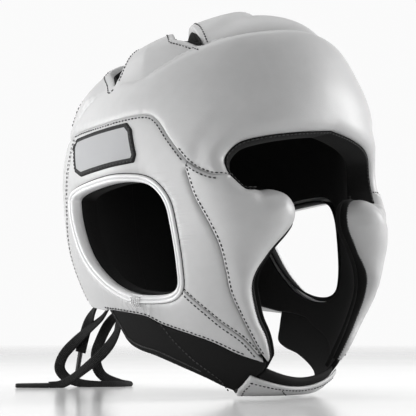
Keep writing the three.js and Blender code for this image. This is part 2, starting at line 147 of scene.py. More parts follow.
# %% Lace routes, in metres
LOOP_ROUTE = [
    (-0.0044, 0.1028, -0.1604), (-0.010, 0.113, -0.168), (-0.012, 0.122, -0.178),
    (-0.015, 0.135, -0.187), (-0.019, 0.148, -0.197), (-0.024, 0.156, -0.207),
    (-0.027, 0.157, -0.217), (-0.025, 0.151, -0.2245), (-0.019, 0.141, -0.2285),
    (-0.010, 0.131, -0.230), (0.001, 0.124, -0.230), (0.012, 0.124, -0.230),
    (0.020, 0.131, -0.230), (0.020, 0.143, -0.2295), (0.012, 0.151, -0.225),
    (0.005, 0.151, -0.217), (0.000, 0.146, -0.206), (-0.002, 0.138, -0.196),
    (-0.003, 0.127, -0.184), (-0.001, 0.114, -0.172), (0.0014, 0.1042, -0.1621),
]
SHORT_ROUTE = [
    (-0.007, 0.1024, -0.1564), (-0.012, 0.112, -0.1585), (-0.015, 0.120, -0.1645),
    (-0.015, 0.128, -0.172), (-0.014, 0.136, -0.180), (-0.013, 0.142, -0.188),
    (-0.013, 0.1455, -0.196), (-0.014, 0.1475, -0.205),
]
LONG_ROUTE = [
    (-0.0024, 0.100, -0.1631), (-0.0065, 0.1025, -0.171), (-0.010, 0.104, -0.180),
    (-0.013, 0.102, -0.189), (-0.016, 0.107, -0.199), (-0.020, 0.117, -0.209),
    (-0.025, 0.127, -0.2175), (-0.031, 0.134, -0.2245), (-0.038, 0.139, -0.229),
    (-0.046, 0.143, -0.230),
]
CURVE_STEPS = 24


def curve(a, b, c, d, s):
    """A smooth way from b to c as s goes from 0 to 1, with slopes that come from a and d."""
    return 0.5 * (2 * b + (c - a) * s + (2 * a - 5 * b + 4 * c - d) * s**2 + (3 * b - a - 3 * c + d) * s**3)


def extended(rows):
    """Rows with one more at each end, so that a curve can run through them all."""
    return np.vstack([2 * rows[0] - rows[1], rows, 2 * rows[-1] - rows[-2]])


def run_along(line):
    """How far along a line each of its points is."""
    return np.concatenate([[0], np.cumsum(np.linalg.norm(np.diff(line, axis=0), axis=1))])


def spread_out(line, places):
    """Points of a line at the given distances along it."""
    run = run_along(line)
    return np.column_stack([np.interp(places, run, line[:, k]) for k in range(line.shape[1])])


def smooth_line(points, step):
    """Evenly spaced points on a smooth line through the given ones."""
    points = np.asarray(points, float)
    ends = extended(points)
    s = np.linspace(0, 1, CURVE_STEPS, endpoint=False)[:, None]
    line = np.vstack([*(curve(*ends[i:i + 4], s) for i in range(len(points) - 1)), points[-1:]])
    length = run_along(line)[-1]
    return spread_out(line, np.linspace(0, length, max(int(length / step), 2) + 1))


def line_length(line):
    return float(run_along(line)[-1])


LACE_STEP = 1.0
loop_line, short_line, long_line = (smooth_line(np.array(route) / MM, LACE_STEP)
                                    for route in (LOOP_ROUTE, SHORT_ROUTE, LONG_ROUTE))
print("lace lengths, mm:", [round(line_length(line)) for line in (loop_line, short_line, long_line)])

# %% [markdown]
# A strip is swept along its line: at each point the flat side's direction and the line's own
# direction give the way across. The corners are rounded, as a woven edge is. No part of the lace
# can sink into the table.

# %% Sweep a flat strip
LACE_WIDTH, LACE_THICK = 8.4, 2.2
TABLE_TOP = -231.5
STRIP_SIDES = 14
STRIP_CORNERS = {"across": 0.5, "through": 0.7}


def rounded(wave, power):
    """A circle's wave with its corners pulled out."""
    return np.sign(wave) * np.abs(wave) ** power


def lace_strip(name, line, facing):
    """A flat lace along a line, whose flat side faces the given directions, one for each point."""
    along = unit(np.gradient(line, axis=0))
    across = unit(np.cross(along, facing))
    out = unit(np.cross(across, along))
    turn = np.linspace(0, 2 * math.pi, STRIP_SIDES, endpoint=False)
    x = LACE_WIDTH / 2 * rounded(np.cos(turn), STRIP_CORNERS["across"])
    y = LACE_THICK / 2 * rounded(np.sin(turn), STRIP_CORNERS["through"])
    points = line[:, None] + across[:, None] * x[None, :, None] + out[:, None] * y[None, :, None]
    points[..., 2] = np.maximum(points[..., 2], TABLE_TOP)
    made = piece(name, points.reshape(-1, 3), tube_faces(len(line), STRIP_SIDES), [name], "lace")
    layer = made.data.uv_layers.new(name="weave")
    where = np.column_stack([np.repeat(run_along(line), STRIP_SIDES), np.tile(x, len(line))])
    corners = np.zeros(len(made.data.loops), int)
    made.data.loops.foreach_get("vertex_index", corners)
    layer.data.foreach_set("uv", where[corners].ravel())
    return made


def turning(hints, count):
    """Directions that turn smoothly through a few hints along a line."""
    hints = np.asarray(hints, float)
    at = np.linspace(0, 1, len(hints))
    spread = np.linspace(0, 1, count)
    return unit(np.column_stack([np.interp(spread, at, hints[:, k]) for k in range(3)]))


OUTWARD, SIDEWAYS, SLANTED = (-0.4, 0.8, 0.45), (-0.7, -0.7, 0.2), (-0.4, -0.5, 0.75)
LOOP_FACING = [OUTWARD, (-0.8, 0.1, 0.5), SIDEWAYS, SLANTED, SLANTED, SLANTED, SIDEWAYS, SIDEWAYS,
               (-0.2, 0.5, 0.7)]
SHORT_FACING = [OUTWARD, (-0.6, 0.3, 0.7), SIDEWAYS, SIDEWAYS]
LONG_FACING = [OUTWARD, (-0.8, 0.2, 0.4), SIDEWAYS, SLANTED, SLANTED]
lace_loop, lace_short, lace_long = (
    lace_strip(name, line, turning(facing, len(line)))
    for name, line, facing in (("lace_loop", loop_line, LOOP_FACING),
                               ("lace_end_short", short_line, SHORT_FACING),
                               ("lace_end_long", long_line, LONG_FACING)))
print("lace faces:", [len(made.data.polygons) for made in (lace_loop, lace_short, lace_long)])

# %% [markdown]
# Each free end is gripped by a stiff plastic tip: a tube pressed round the braid, a little
# narrower at its end so that it is easy to thread.

# %% Lace tips
TIP_RADIUS = 1.9
TIP_SIDES = 20
TIP_SHAPE = np.array([(0, 0.85), (0.02, 0.98), (0.06, 1.0), (0.5, 0.97),
                      (0.94, 0.92), (0.985, 0.8), (1.0, 0.5)])
TIP_ACROSS = (0.3, 0.2, 0.9)
SHORT_TIP = ((-14.0, 147.5, -204.5), (-17.0, 149.5, -229.5))
LONG_TIP = ((-45.5, 142.8, -229.6), (-68.0, 156.0, -229.6))


def lace_tip(name, ends):
    """A round tip whose shape is pairs of a place along it and its radius there."""
    start, end = (np.array(e) for e in ends)
    steps, reach = TIP_SHAPE[:, 0], TIP_RADIUS * TIP_SHAPE[:, 1]
    axis = unit(end - start)
    side = unit(np.cross(axis, TIP_ACROSS))
    other = np.cross(axis, side)
    turn = np.linspace(0, 2 * math.pi, TIP_SIDES, endpoint=False)
    ring = np.cos(turn)[:, None] * side + np.sin(turn)[:, None] * other
    points = (start + (end - start) * steps[:, None])[:, None] + ring[None] * reach[:, None, None]
    return piece(name, points.reshape(-1, 3), tube_faces(len(steps), TIP_SIDES), [name], "lace_tip")


tip_short = lace_tip("lace_tip_short", SHORT_TIP)
tip_long = lace_tip("lace_tip_long", LONG_TIP)
for made, line, end, tips in ((lace_loop, loop_line, "object", []),
                              (lace_short, short_line, "fitting", [tip_short]),
                              (lace_long, long_line, "fitting", [tip_long])):
    (line[0] * MM).tolist()
    (line * MM).tolist()
print("cords declared:", lace_loop.name, lace_short.name, lace_long.name)

# %% [markdown]
# The pads are cut from one head form, as a last is the form of a shoe. The form is a stack of
# level sections, each with a reach to the side, front and back and a padding depth there. A
# smooth curve joins the sections. Any place on it is named by an angle round from the front
# (positive on the wearer's right) and a row number from the crown down.

# %% Head form
FORM_COLUMNS = ("z", "centre", "side", "front", "back", "pad_front", "pad_side", "pad_back")
FORM = np.array([
    (27, -36, 0, 0, 0, 18, 18, 18),
    (24.5, -35, 20, 25, 25, 18, 18, 18),
    (17.5, -31, 40, 46, 46, 18, 18, 18),
    (2, -18, 66, 74, 74, 18, 17, 17),
    (-17, -7, 83, 95, 96, 19, 16, 16),
    (-40, 0, 95, 110, 111, 21, 15, 15),
    (-74, 2, 102, 115, 116, 21, 15, 15),
    (-105, 3, 102, 122, 112, 25, 15, 15),
    (-135, 3, 100, 124, 104, 24, 14, 13),
    (-162, 3, 92, 119, 91, 14, 10, 10),
    (-185, 3, 80, 108, 78, 8, 6, 7),
    (-207, 3, 68, 97, 69, 6, 4, 5),
    (-221, 3, 61, 84, 63, 4, 4, 4),
    (-228.5, 3, 56, 70, 59, 4, 4, 4),
    (-230, 3, 46, 46, 52, 4, 4, 4),
], float)
SECTION_POWER = 2.15
LAST_ROW = len(FORM) - 1
FORM_EXTENDED = extended(FORM)
NO_REACH = 1e-4
NORMAL_STEP = {"rows": 0.06, "degrees": 1.2, "top_row": 0.02, "top_middle": 0.05}


def section(row):
    """The form's measures at a row, which may lie between two sections."""
    row = np.clip(np.asarray(row, float), 0, LAST_ROW)
    first = np.minimum(row.astype(int), LAST_ROW - 1)
    s = (row - first)[..., None]
    values = curve(*(FORM_EXTENDED[first + k] for k in range(4)), s)
    return dict(zip(FORM_COLUMNS, np.moveaxis(values, -1, 0)))


def form_point(degrees, row):
    """A place on the outer form, in millimetres."""
    at = section(row)
    ahead, aside = np.cos(np.radians(degrees)), np.sin(np.radians(degrees))
    along = np.maximum(np.where(ahead > 0, at["front"], at["back"]), NO_REACH)
    across = np.maximum(at["side"], NO_REACH)
    reach = ((np.abs(ahead) / along) ** SECTION_POWER
             + (np.abs(aside) / across) ** SECTION_POWER) ** (-1 / SECTION_POWER)
    return np.stack([-reach * aside, at["centre"] - reach * ahead, at["z"] + 0 * reach], -1)


def form_normal(degrees, row):
    """The way out of the form, across small steps down and round it."""
    low = np.clip(np.asarray(row) - NORMAL_STEP["rows"] / 2, NORMAL_STEP["top_row"], LAST_ROW)
    down = form_point(degrees, np.clip(low + NORMAL_STEP["rows"], 0, LAST_ROW)) - form_point(degrees, low)
    middle, turn = np.maximum(row, NORMAL_STEP["top_middle"]), NORMAL_STEP["degrees"] / 2
    around = form_point(degrees + turn, middle) - form_point(degrees - turn, middle)
    return unit(np.cross(around, down))


print("form of", len(FORM), "sections, from", FORM[0, 0], "to", FORM[-1, 0], "mm")

# %% [markdown]
# The same sections say how deep the foam is. A point below the face of the form lies along its
# normal, and a height is turned into a row by looking it up.

# %% Depths and heights on the form
ROWS_LISTED = 3000


def padding(degrees, row):
    """Depth of the foam at a place on the form."""
    at = section(row)
    ahead = np.cos(np.radians(degrees))
    along = np.where(ahead > 0, at["pad_front"], at["pad_back"])
    return along * ahead**2 + at["pad_side"] * (1 - ahead**2)


def skin(degrees, row, depth):
    """A point at a depth below the form."""
    return form_point(degrees, row) - form_normal(degrees, row) * np.asarray(depth)[..., None]


ROW_TABLE = np.linspace(0, LAST_ROW, ROWS_LISTED)
HEIGHT_TABLE = section(ROW_TABLE)["z"]


def row_at(z):
    """The row at a height."""
    return np.interp(-np.asarray(z, float), -HEIGHT_TABLE, ROW_TABLE)


print("foam at the forehead:", round(float(padding(0, row_at(-74))), 1), "mm")

# %% [markdown]
# A pattern is drawn flat. To draw on the form without stretching small shapes, we use a chart
# that keeps angles true, as a sea chart does: distance round the head against a matching measure
# down it. The crown has its own round chart with the top of the head in the middle.

# %% Flat charts of the form
CHART_SIZE = 100.0
CHART_ROWS, CHART_TOP, CHART_TURN = 2400, 0.02, 15.0
MIDDLE = 1e-6
chart_rows = np.linspace(CHART_TOP, LAST_ROW, CHART_ROWS)
ring_angles = np.arange(0, 360, CHART_TURN)
ring_points = form_point(ring_angles[None, :], chart_rows[:, None])
ring_middle = ring_points.mean(1, keepdims=True)
mean_radius = np.linalg.norm((ring_points - ring_middle)[..., :2], axis=-1).mean(1)
row_steps = np.linalg.norm(np.diff(ring_points, axis=0), axis=-1).mean(1)
half_radius = (mean_radius[1:] + mean_radius[:-1]) / 2
chart_down = np.log(mean_radius[0]) + np.concatenate([[0], np.cumsum(row_steps / half_radius)])


def to_chart(degrees, row, crown):
    down = np.interp(row, chart_rows, chart_down)
    turn = np.radians(degrees)
    if crown:
        return np.stack([np.exp(down) * np.sin(turn), np.exp(down) * np.cos(turn)], -1)
    return np.stack([turn, down], -1) * CHART_SIZE


def from_chart(points, crown):
    if crown:
        down = np.log(np.maximum(np.linalg.norm(points, axis=-1), MIDDLE))
        degrees = np.degrees(np.arctan2(points[..., 0], points[..., 1]))
    else:
        down = points[..., 1] / CHART_SIZE
        degrees = np.degrees(points[..., 0] / CHART_SIZE)
    return degrees, np.interp(down, chart_down, chart_rows)


def chart_scale(points, crown):
    """Millimetres on the form for one unit of the chart."""
    row = from_chart(points, crown)[1]
    radius = np.interp(row, chart_rows, mean_radius)
    if crown:
        return radius / np.maximum(np.linalg.norm(points, axis=-1), MIDDLE)
    return radius / CHART_SIZE


print("mean radius at the widest:", round(mean_radius.max()), "mm")

# %% [markdown]
# A panel is cut out of the chart along its outline. That takes three helpers: one spaces the points
# of an outline evenly, one tells what lies inside it, and one measures how far a point is from it.

# %% Outlines and distances
def joined_up(points):
    """A ring of points with its first one again at the end."""
    return np.vstack([points, points[:1]])


def closed_line(points, step):
    """A closed outline with evenly spaced corners."""
    loop = joined_up(points)
    length = run_along(loop)[-1]
    return spread_out(loop, np.linspace(0, length, max(int(length / step), 8), endpoint=False))


def inside(points, loop):
    """Whether each flat point is inside a loop, by counting the sides that it has to the right."""
    x, y = points[:, 0], points[:, 1]
    found = np.zeros(len(points), bool)
    for (x0, y0), (x1, y1) in zip(loop, np.roll(loop, -1, axis=0)):
        if y0 == y1:
            continue
        crosses = ((y0 > y) != (y1 > y)) & (x < (x1 - x0) * (y - y0) / (y1 - y0) + x0)
        found ^= crosses
    return found


def nearest(points, line, chunk=4000):
    """Distance from each point to a line of close points, and how far along it that is."""
    start, step = line[:-1], np.diff(line, axis=0)
    square = np.maximum((step**2).sum(1), 1e-12)
    run = np.concatenate([[0], np.cumsum(np.sqrt(square))])
    distance, along = np.empty(len(points)), np.empty(len(points))
    for i in range(0, len(points), chunk):
        p = points[i:i + chunk, None]
        s = np.clip(((p - start) * step).sum(-1) / square, 0, 1)
        gap = ((p - start - step * s[..., None]) ** 2).sum(-1)
        best = gap.argmin(1)
        pick = np.arange(len(best))
        distance[i:i + chunk] = np.sqrt(gap[pick, best])
        along[i:i + chunk] = run[best] + s[pick, best] * np.sqrt(square[best])
    return distance, along


square = closed_line(np.array([(0, 0), (4, 0), (4, 4), (0, 4)], float), 0.5)
middle = np.array([(2.0, 2.0)])
print("middle of a 4 mm square: inside", inside(middle, square)[0],
      "and from its edge, mm", round(float(nearest(middle, joined_up(square))[0][0]), 2))

# %% [markdown]
# Rows of points follow the outline at small distances, so that its rounded edge is smooth, and an
# even net of points fills the middle. The triangles between them come from a Delaunay
# triangulation that keeps the outline. A second skin and a wall close the panel.

# %% Cut a panel
EDGE_RINGS = (0.5, 1.2, 2.1, 3.2, 4.6, 6.4)
EDGE_STEP = 1.3
NET = {"row": 0.87, "clear_of_rings": 0.45, "ring_clear": 0.8, "merge": 1e-7}


def cut_panel(outline, holes=(), crown=False, spacing=2.6):
    """Angles, rows and triangles of a panel whose outlines are lists of (degrees, row)."""
    loops = []
    for points in (outline, *holes):
        points = np.asarray(points, float)
        flat = to_chart(points[:, 0], points[:, 1], crown)
        loops.append(closed_line(flat, EDGE_STEP / chart_scale(flat, crown).mean()))
    around = [joined_up(loop) for loop in loops]

    def within(points):
        kept = inside(points, loops[0])
        for hole in loops[1:]:
            kept &= ~inside(points, hole)
        return kept

    def gap(points):
        near = np.min([nearest(points, line)[0] for line in around], axis=0)
        return near * chart_scale(points, crown)

    free = []
    for loop in loops:
        along = np.roll(loop, -1, axis=0) - np.roll(loop, 1, axis=0)
        across = unit(np.column_stack([-along[:, 1], along[:, 0]]))
        for distance in EDGE_RINGS:
            shift = across * (distance / chart_scale(loop, crown))[:, None]
            for points in (loop + shift, loop - shift):
                points = points[within(points)]
                if len(points):
                    free.append(points[gap(points) > NET["ring_clear"] * distance])
    low, high = loops[0].min(0), loops[0].max(0)
    step = spacing / np.median(chart_scale(loops[0], crown))
    columns = np.arange(low[0], high[0], step)
    rows = np.arange(low[1], high[1], step * NET["row"])
    net = np.stack(np.meshgrid(columns, rows), -1)
    net[1::2, :, 0] += step / 2
    net = net.reshape(-1, 2)
    net = net[within(net)]
    free.append(net[gap(net) > EDGE_RINGS[-1] + spacing * NET["clear_of_rings"]])
    points, edges, base = [], [], 0
    for loop in loops:
        n = len(loop)
        edges += [(base + i, base + (i + 1) % n) for i in range(n)]
        points.append(loop)
        base += n
    points = np.vstack(points + free)
    made = delaunay_2d_cdt([Vector(p) for p in points], edges, [], 0, NET["merge"], False)
    flat = np.array([tuple(v) for v in made[0]])
    faces = np.array([f for f in made[2] if len(f) == 3])
    faces = faces[within(flat[faces].mean(1))]
    used, faces = np.unique(faces, return_inverse=True)
    degrees, row = from_chart(flat[used], crown)
    return degrees, row, faces.reshape(-1, 3)


def rim_edges(faces):
    """The edges of a cut panel that belong to one triangle only, in that triangle's order."""
    edges = np.vstack([faces[:, [0, 1]], faces[:, [1, 2]], faces[:, [2, 0]]])
    key = np.sort(edges, axis=1)
    _, first, count = np.unique(key, axis=0, return_index=True, return_counts=True)
    return edges[first[count == 1]]


def pad_faces(outer_points, inner_points, faces):
    """A closed pad from its outer and inner face: both skins and the wall between them."""
    n = len(outer_points)
    a, b, c = (outer_points[faces[:, k]] for k in range(3))
    middle = outer_points.mean(0) * [0, 0, 1]
    out = (np.cross(b - a, c - a) * ((a + b + c) / 3 - middle)).sum()
    if out < 0:
        faces = faces[:, ::-1]
    rim = rim_edges(faces)
    walls = np.vstack([np.column_stack([rim[:, 1], rim[:, 0], rim[:, 0] + n]),
                       np.column_stack([rim[:, 1], rim[:, 0] + n, rim[:, 1] + n])])
    return np.vstack([outer_points, inner_points]), np.vstack([faces, faces[:, ::-1] + n, walls])


print("rows of points along an edge, mm:", EDGE_RINGS)

# %% [markdown]
# Foam under leather is full in the middle and drawn down where it is sewn. Each edge of a panel
# has a roll: the width over which the leather comes down, and how far it comes down. The roll is
# a quarter of an oval, which is what a bent skin over foam looks like. Small puckers, one for
# each stitch or two, run in from a sewn edge.

# %% Shape a panel
LINE_STEP = {"on_form": 0.6, "straight": 60}
PUCKER = {"pitch": 1.25, "drift": 2.1, "drift_pitch": 0.19, "uneven": 0.4, "uneven_pitch": 0.31,
          "uneven_shift": 1.7, "fades": 4.5, "starts": 1.2}
FULL_WITHIN = 14


def as_rows(line):
    """A line of (degrees, height) as (degrees, row)."""
    line = np.asarray(line, float)
    return np.column_stack([line[:, 0], row_at(line[:, 1])])


def dense_line(line, step, count):
    """Close points on a smooth line, or on a straight one where only its two ends are given."""
    line = np.asarray(line, float)
    return smooth_line(line, step) if len(line) > 2 else np.linspace(line[0], line[-1], count)


def on_form(line):
    """A line of (degrees, height) as close points on the form, in millimetres."""
    return form_point(*as_rows(dense_line(line, LINE_STEP["on_form"], LINE_STEP["straight"])).T)


def rolled(distance, width, drop):
    """A quarter of an oval: how far the leather has come down at a distance from its edge."""
    return drop * (1 - np.sqrt(1 - (1 - np.clip(distance / width, 0, 1)) ** 2))


def puckers(distance, along, number):
    """Small folds along a sewn edge, uneven and different for each edge."""
    wave = np.sin(along * PUCKER["pitch"] + PUCKER["drift"] * np.sin(along * PUCKER["drift_pitch"] + number))
    uneven = np.sin(along * PUCKER["uneven_pitch"] + PUCKER["uneven_shift"] * number)
    wave = wave * (1 - PUCKER["uneven"] + PUCKER["uneven"] * uneven)
    return wave * np.exp(-distance / PUCKER["fades"]) * np.clip(distance / PUCKER["starts"], 0, 1)


def value_at(value, *place):
    """A value, or what it is at a place where it changes from place to place."""
    return value(*place) if callable(value) else value


def pad_depth(degrees, row, edges, fullness=1.0, pucker=0.25, raised=0.0):
    """Depth of a pad's outer face below the form. Edges are (line, roll width, drop, sewn)."""
    base = form_point(degrees, row)
    depth = np.zeros(len(base))
    nearest_edge = np.full(len(base), np.inf)
    folds = np.zeros(len(base))
    for number, (line, width, drop, sewn) in enumerate(edges):
        distance, along = nearest(base, line)
        roll = rolled(distance, value_at(width, degrees, row), value_at(drop, degrees, row))
        depth = np.maximum(depth, roll)
        nearest_edge = np.minimum(nearest_edge, distance)
        if sewn:
            folds += puckers(distance, along, number)
    full = fullness * (1 - np.exp(-nearest_edge / FULL_WITHIN))
    return depth - full - pucker * folds - value_at(raised, base)


print("a roll of 5 by 2 mm, down at its middle by", round(float(rolled(2.5, 5.0, 2.0)), 2), "mm")

# %% [markdown]
# A piece is closed between an outer and an inner depth. The pieces of the wearer's left side are
# mirror images of the right ones.

# %% Close a pad
THINNEST = 0.5
MIRROR = np.array((-1, 1, 1))


def layered(name, cut, outer_depth, inner_depth, nodes, slot):
    """A closed piece between two depths below the form."""
    degrees, row, faces = cut
    points, faces = pad_faces(skin(degrees, row, outer_depth), skin(degrees, row, inner_depth), faces)
    return piece(name, points, faces, nodes, slot)


def pad(name, cut, edges, slot="leather", inner=padding, **shape):
    """A padded piece that stands for the node of its own name."""
    degrees, row, _ = cut
    inner_depth = inner(degrees, row)
    outer_depth = np.minimum(pad_depth(degrees, row, edges, **shape), inner_depth - THINNEST)
    return layered(name, cut, outer_depth, inner_depth, [name], slot)


def mirrored(made, name, nodes, slot):
    """The same piece for the wearer's left side."""
    points = np.zeros(len(made.data.vertices) * 3)
    made.data.vertices.foreach_get("co", points)
    points = points.reshape(-1, 3) / MM * MIRROR
    faces = [tuple(reversed(p.vertices)) for p in made.data.polygons]
    return piece(name, points, faces, nodes, slot)


print("thinnest pad:", THINNEST, "mm")

# %% [markdown]
# The seams of the wearer's right side, as angles and heights. The left side mirrors them.

# %% Seams and edges
SEAM_STEP = {"smooth": 0.7, "straight": 80, "ring": 16}
BROW_EDGE = [(0, -60), (13, -63), (24, -66), (34, -70), (38.4, -75), (40.8, -82), (40.2, -88), (39, -92.5)]
SIDE_SEAM = [(39, -93.2), (45, -92.5), (52, -85), (59, -70), (65, -56), (71, -51), (84, -51.2),
             (96, -52.4), (118, -53)]
CHEEK_SEAM = [(53, -90), (50, -106), (45.5, -122), (42, -137), (40, -152), (38, -167), (33, -184),
              (27, -200), (22, -209)]
CHEEK_EDGE = [(22, -209), (21.8, -205.5), (24.5, -194), (28.2, -183.8), (30.7, -172.7), (31.7, -163.8),
              (30.8, -155.4), (27.5, -145.7), (24, -137.3), (18.8, -126), (16.3, -119), (16, -110),
              (19, -101.5), (24.5, -98.4), (29.5, -100), (32.7, -101.8), (34.5, -100.6), (36, -98),
              (38.2, -94)]
EAR_HOLE = [(114, -95.5), (96, -90.5), (80, -89), (68, -93), (60.5, -106), (57.5, -125), (56, -150),
            (57, -166), (64, -172.5), (78, -171), (92, -162.5), (104, -146), (112, -124), (116, -107)]
LAP_SEAM = [(24, -208), (26.5, -204.5), (33, -194), (41, -185), (48, -176), (56, -166)]
JAW_EDGE = [(101, -175), (88, -177), (77, -180), (68, -186), (54, -192), (44, -197), (34, -204),
            (24, -209)]
NECK_EDGE = [(34, -228), (40, -225), (50, -219), (62, -213), (78, -206), (90, -202), (97, -197),
             (99, -188), (101, -175)]
NECK_FRONT = [(22.5, -210), (23, -214), (27, -221), (34, -228)]
BACK_SIDE = [(118, -53), (120, -80), (123, -110), (125, -140), (125, -171)]


def seam_rows(line):
    """A smooth line of (degrees, height) as (degrees, row)."""
    return as_rows(dense_line(line, SEAM_STEP["smooth"], SEAM_STEP["straight"]))


def ring_line(points):
    """A smooth closed line through the given points."""
    around = [np.roll(np.asarray(points, float), -k, axis=0) for k in (-1, 0, 1, 2)]
    s = np.linspace(0, 1, SEAM_STEP["ring"], endpoint=False)[:, None]
    return np.vstack([curve(*corners, s) for corners in zip(*around)])


print("cheek seam:", round(line_length(on_form(CHEEK_SEAM))), "mm")

# %% [markdown]
# The crown pad is forehead, temples and crown in one piece. From the top, slots run in from the
# rim to an open middle, so that the leather can bend over the dome in separate tabs. The slots are
# drawn as seen from above and then found on the form, by closing in on the row whose section
# passes through each point.

# %% Crown slots
CROWN_MIDDLE = (0.0, 48.0)
CROWN_OVAL = (21.0, 25.0)
SLOT_COLUMNS = ("tip_x", "tip_y", "mouth_x", "mouth_y", "width")
CROWN_SLOTS = [(65, -52, 58, -28, 13), (87, 11, 68, 24, 17), (82, 64, 60, 60, 12)]
SLOT_SHAPE = {"base": 0.36, "taper": 1.15, "tip": 0.06, "narrows_to": 0.9, "steps": 7}
SEARCH = {"first_row": 0.02, "last_row": 6.0, "halvings": 40}


def found_from_above(points):
    """Degrees and rows of points that are given as seen from above."""
    points = np.asarray(points, float)
    high, low = (np.full(len(points), SEARCH[end]) for end in ("first_row", "last_row"))
    for _ in range(SEARCH["halvings"]):
        row = (high + low) / 2
        away = points[:, 1] - section(row)["centre"]
        degrees = np.degrees(np.arctan2(-points[:, 0], -away))
        reach = np.linalg.norm((form_point(degrees, row) - np.column_stack(
            [0 * row, section(row)["centre"], 0 * row]))[:, :2], axis=1)
        beyond = np.hypot(points[:, 0], away) > reach
        high, low = np.where(beyond, row, high), np.where(beyond, low, row)
    return np.column_stack([degrees, row])


def crown_star():
    """The open middle and its slots as one outline seen from above."""
    middle = np.array(CROWN_MIDDLE)
    slots = [dict(zip(SLOT_COLUMNS, slot)) | {"side": side} for side in (-1, 1) for slot in CROWN_SLOTS]
    slots.sort(key=lambda slot: math.atan2(slot["side"] * slot["tip_x"], slot["tip_y"] - middle[1]))
    outline = []
    for slot in slots:
        tip = np.array((slot["side"] * slot["tip_x"], slot["tip_y"]), float)
        mouth = np.array((slot["side"] * slot["mouth_x"], slot["mouth_y"]), float)
        out, start = unit(tip - mouth), unit(mouth - middle)
        across = np.array((out[1], -out[0])) * slot["width"] / 2
        wide = np.array((start[1], -start[0])) * slot["width"] * SLOT_SHAPE["base"]
        base = middle + start / np.linalg.norm(start / CROWN_OVAL)
        narrowing = [(mouth + (tip - mouth) * part, across * (1 - part ** SLOT_SHAPE["taper"]))
                     for part in np.linspace(0, SLOT_SHAPE["narrows_to"], SLOT_SHAPE["steps"])]
        end = across * SLOT_SHAPE["tip"]
        outline += [base - wide] + [at - half for at, half in narrowing] + [tip - end]
        outline += [tip + end] + [at + half for at, half in narrowing[::-1]] + [base + wide]
    return np.array(outline)


star_above = closed_line(crown_star(), 1.0)
star = found_from_above(star_above)
star_line = joined_up(form_point(*star.T))
print("crown slots round:", round(line_length(star_line)), "mm")

# %% [markdown]
# A real pad is a leather bag that its foam pushes out, so it is fullest in the middle and drawn in
# along the seams. Blender's cloth can do the same: the inner face and the sewn edges are held, a
# little pressure fills the bag for a few steps, and no point may move further than a cap. Here it
# adds a tenth of a millimetre at most, so the fullness that shows is the one worked out above.

# %% Fill a pad
FILL = {"pressure": 4.0, "steps": 16, "cap": 1.6, "sewn": 5.0, "free": 18.0, "quality": 4,
        "stiffness": 2.0, "levels": 10}


def ease(value, start, end):
    """From 0 at the start to 1 at the end, with a soft beginning and a soft stop."""
    x = np.clip((value - start) / (end - start), 0, 1)
    return x * x * (3 - 2 * x)


def held_by(base, lines):
    """How firmly each point of a pad's outer face is held by the seams near it, from 0 to 1."""
    away = np.min([nearest(base, line)[0] for line in lines], axis=0)
    return 1 - ease(away, FILL["sewn"], FILL["free"])


def fill(made, held):
    """Swell a closed pad by pressure. Its outer points come first, and its inner points are held."""
    count = len(made.data.vertices)
    held = np.concatenate([held, np.ones(count - len(held))])
    group = made.vertex_groups.new(name="held")
    levels = np.round(held * FILL["levels"])
    for level in range(1, FILL["levels"] + 1):
        group.add(np.flatnonzero(levels == level).tolist(), level / FILL["levels"], "REPLACE")
    bag = made.modifiers.new("fill", "CLOTH")
    bag.settings.vertex_group_mass = "held"
    bag.settings.quality = FILL["quality"]
    bag.settings.use_pressure = True
    bag.settings.uniform_pressure_force = FILL["pressure"]
    bag.settings.bending_stiffness = FILL["stiffness"]
    bag.settings.effector_weights.gravity = 0
    bag.collision_settings.use_collision = False
    bag.point_cache.frame_end = FILL["steps"]
    for step in range(1, FILL["steps"] + 1):
        bpy.context.scene.frame_set(step)
    before, after = np.zeros(count * 3), np.zeros(count * 3)
    made.data.vertices.foreach_get("co", before)
    made.evaluated_get(bpy.context.evaluated_depsgraph_get()).data.vertices.foreach_get("co", after)
    made.modifiers.remove(bag)
    made.vertex_groups.remove(group)
    bpy.context.scene.frame_set(1)
    moved = (after - before).reshape(-1, 3) / MM
    size = np.linalg.norm(moved, axis=1, keepdims=True)
    moved *= np.tanh(size / FILL["cap"]) * FILL["cap"] / np.maximum(size, 1e-6)
    made.data.vertices.foreach_set("co", before + moved.ravel() * MM)
    made.data.update()
    return float(np.linalg.norm(moved, axis=1).max())


print("a pad may swell by at most", FILL["cap"], "mm")

# %% [markdown]
# The brow roll ends in a ridge that runs across the top of the forehead. Behind it the crown tabs
# start lower, so the ridge is a small step: the roll comes down quickly and the tabs rise slowly.
# The slots show black cloth on their walls, which is a strip swept round their edge.

# %% Crown pad
CROWN_CREASE = [(-87, 12, -25), (-88, -4, -26), (-87, -18, -25), (-82, -28, -21), (-75, -39, -14),
                (-65, -52, -6), (-55, -63, 0), (-46, -71, 4), (-37, -77, 6), (-27, -81, 8), (-15, -84, 10),
                (0, -85, 11)]
BEHIND_CROWN = [(90, 130), (-90, 130)]
BACK_TOP = [(118, -53), (150, -53.5), (180, -56)]
RIDGE = {"step": 1.0, "width": 7.5, "drop": 3.6, "tabs_lower": 4.0, "tabs_rise_over": 15, "ends_fade": 45}
EYE_HOLLOW = {"from_brow": 17, "reach": 6, "degrees": (18, 32)}
SIDE_TAB = {"swell": 3.6, "front": (50, 70), "back": (150, 118), "height": (-52, -26), "from_ridge": (5, 32)}
CROWN_SPACING = 1.6

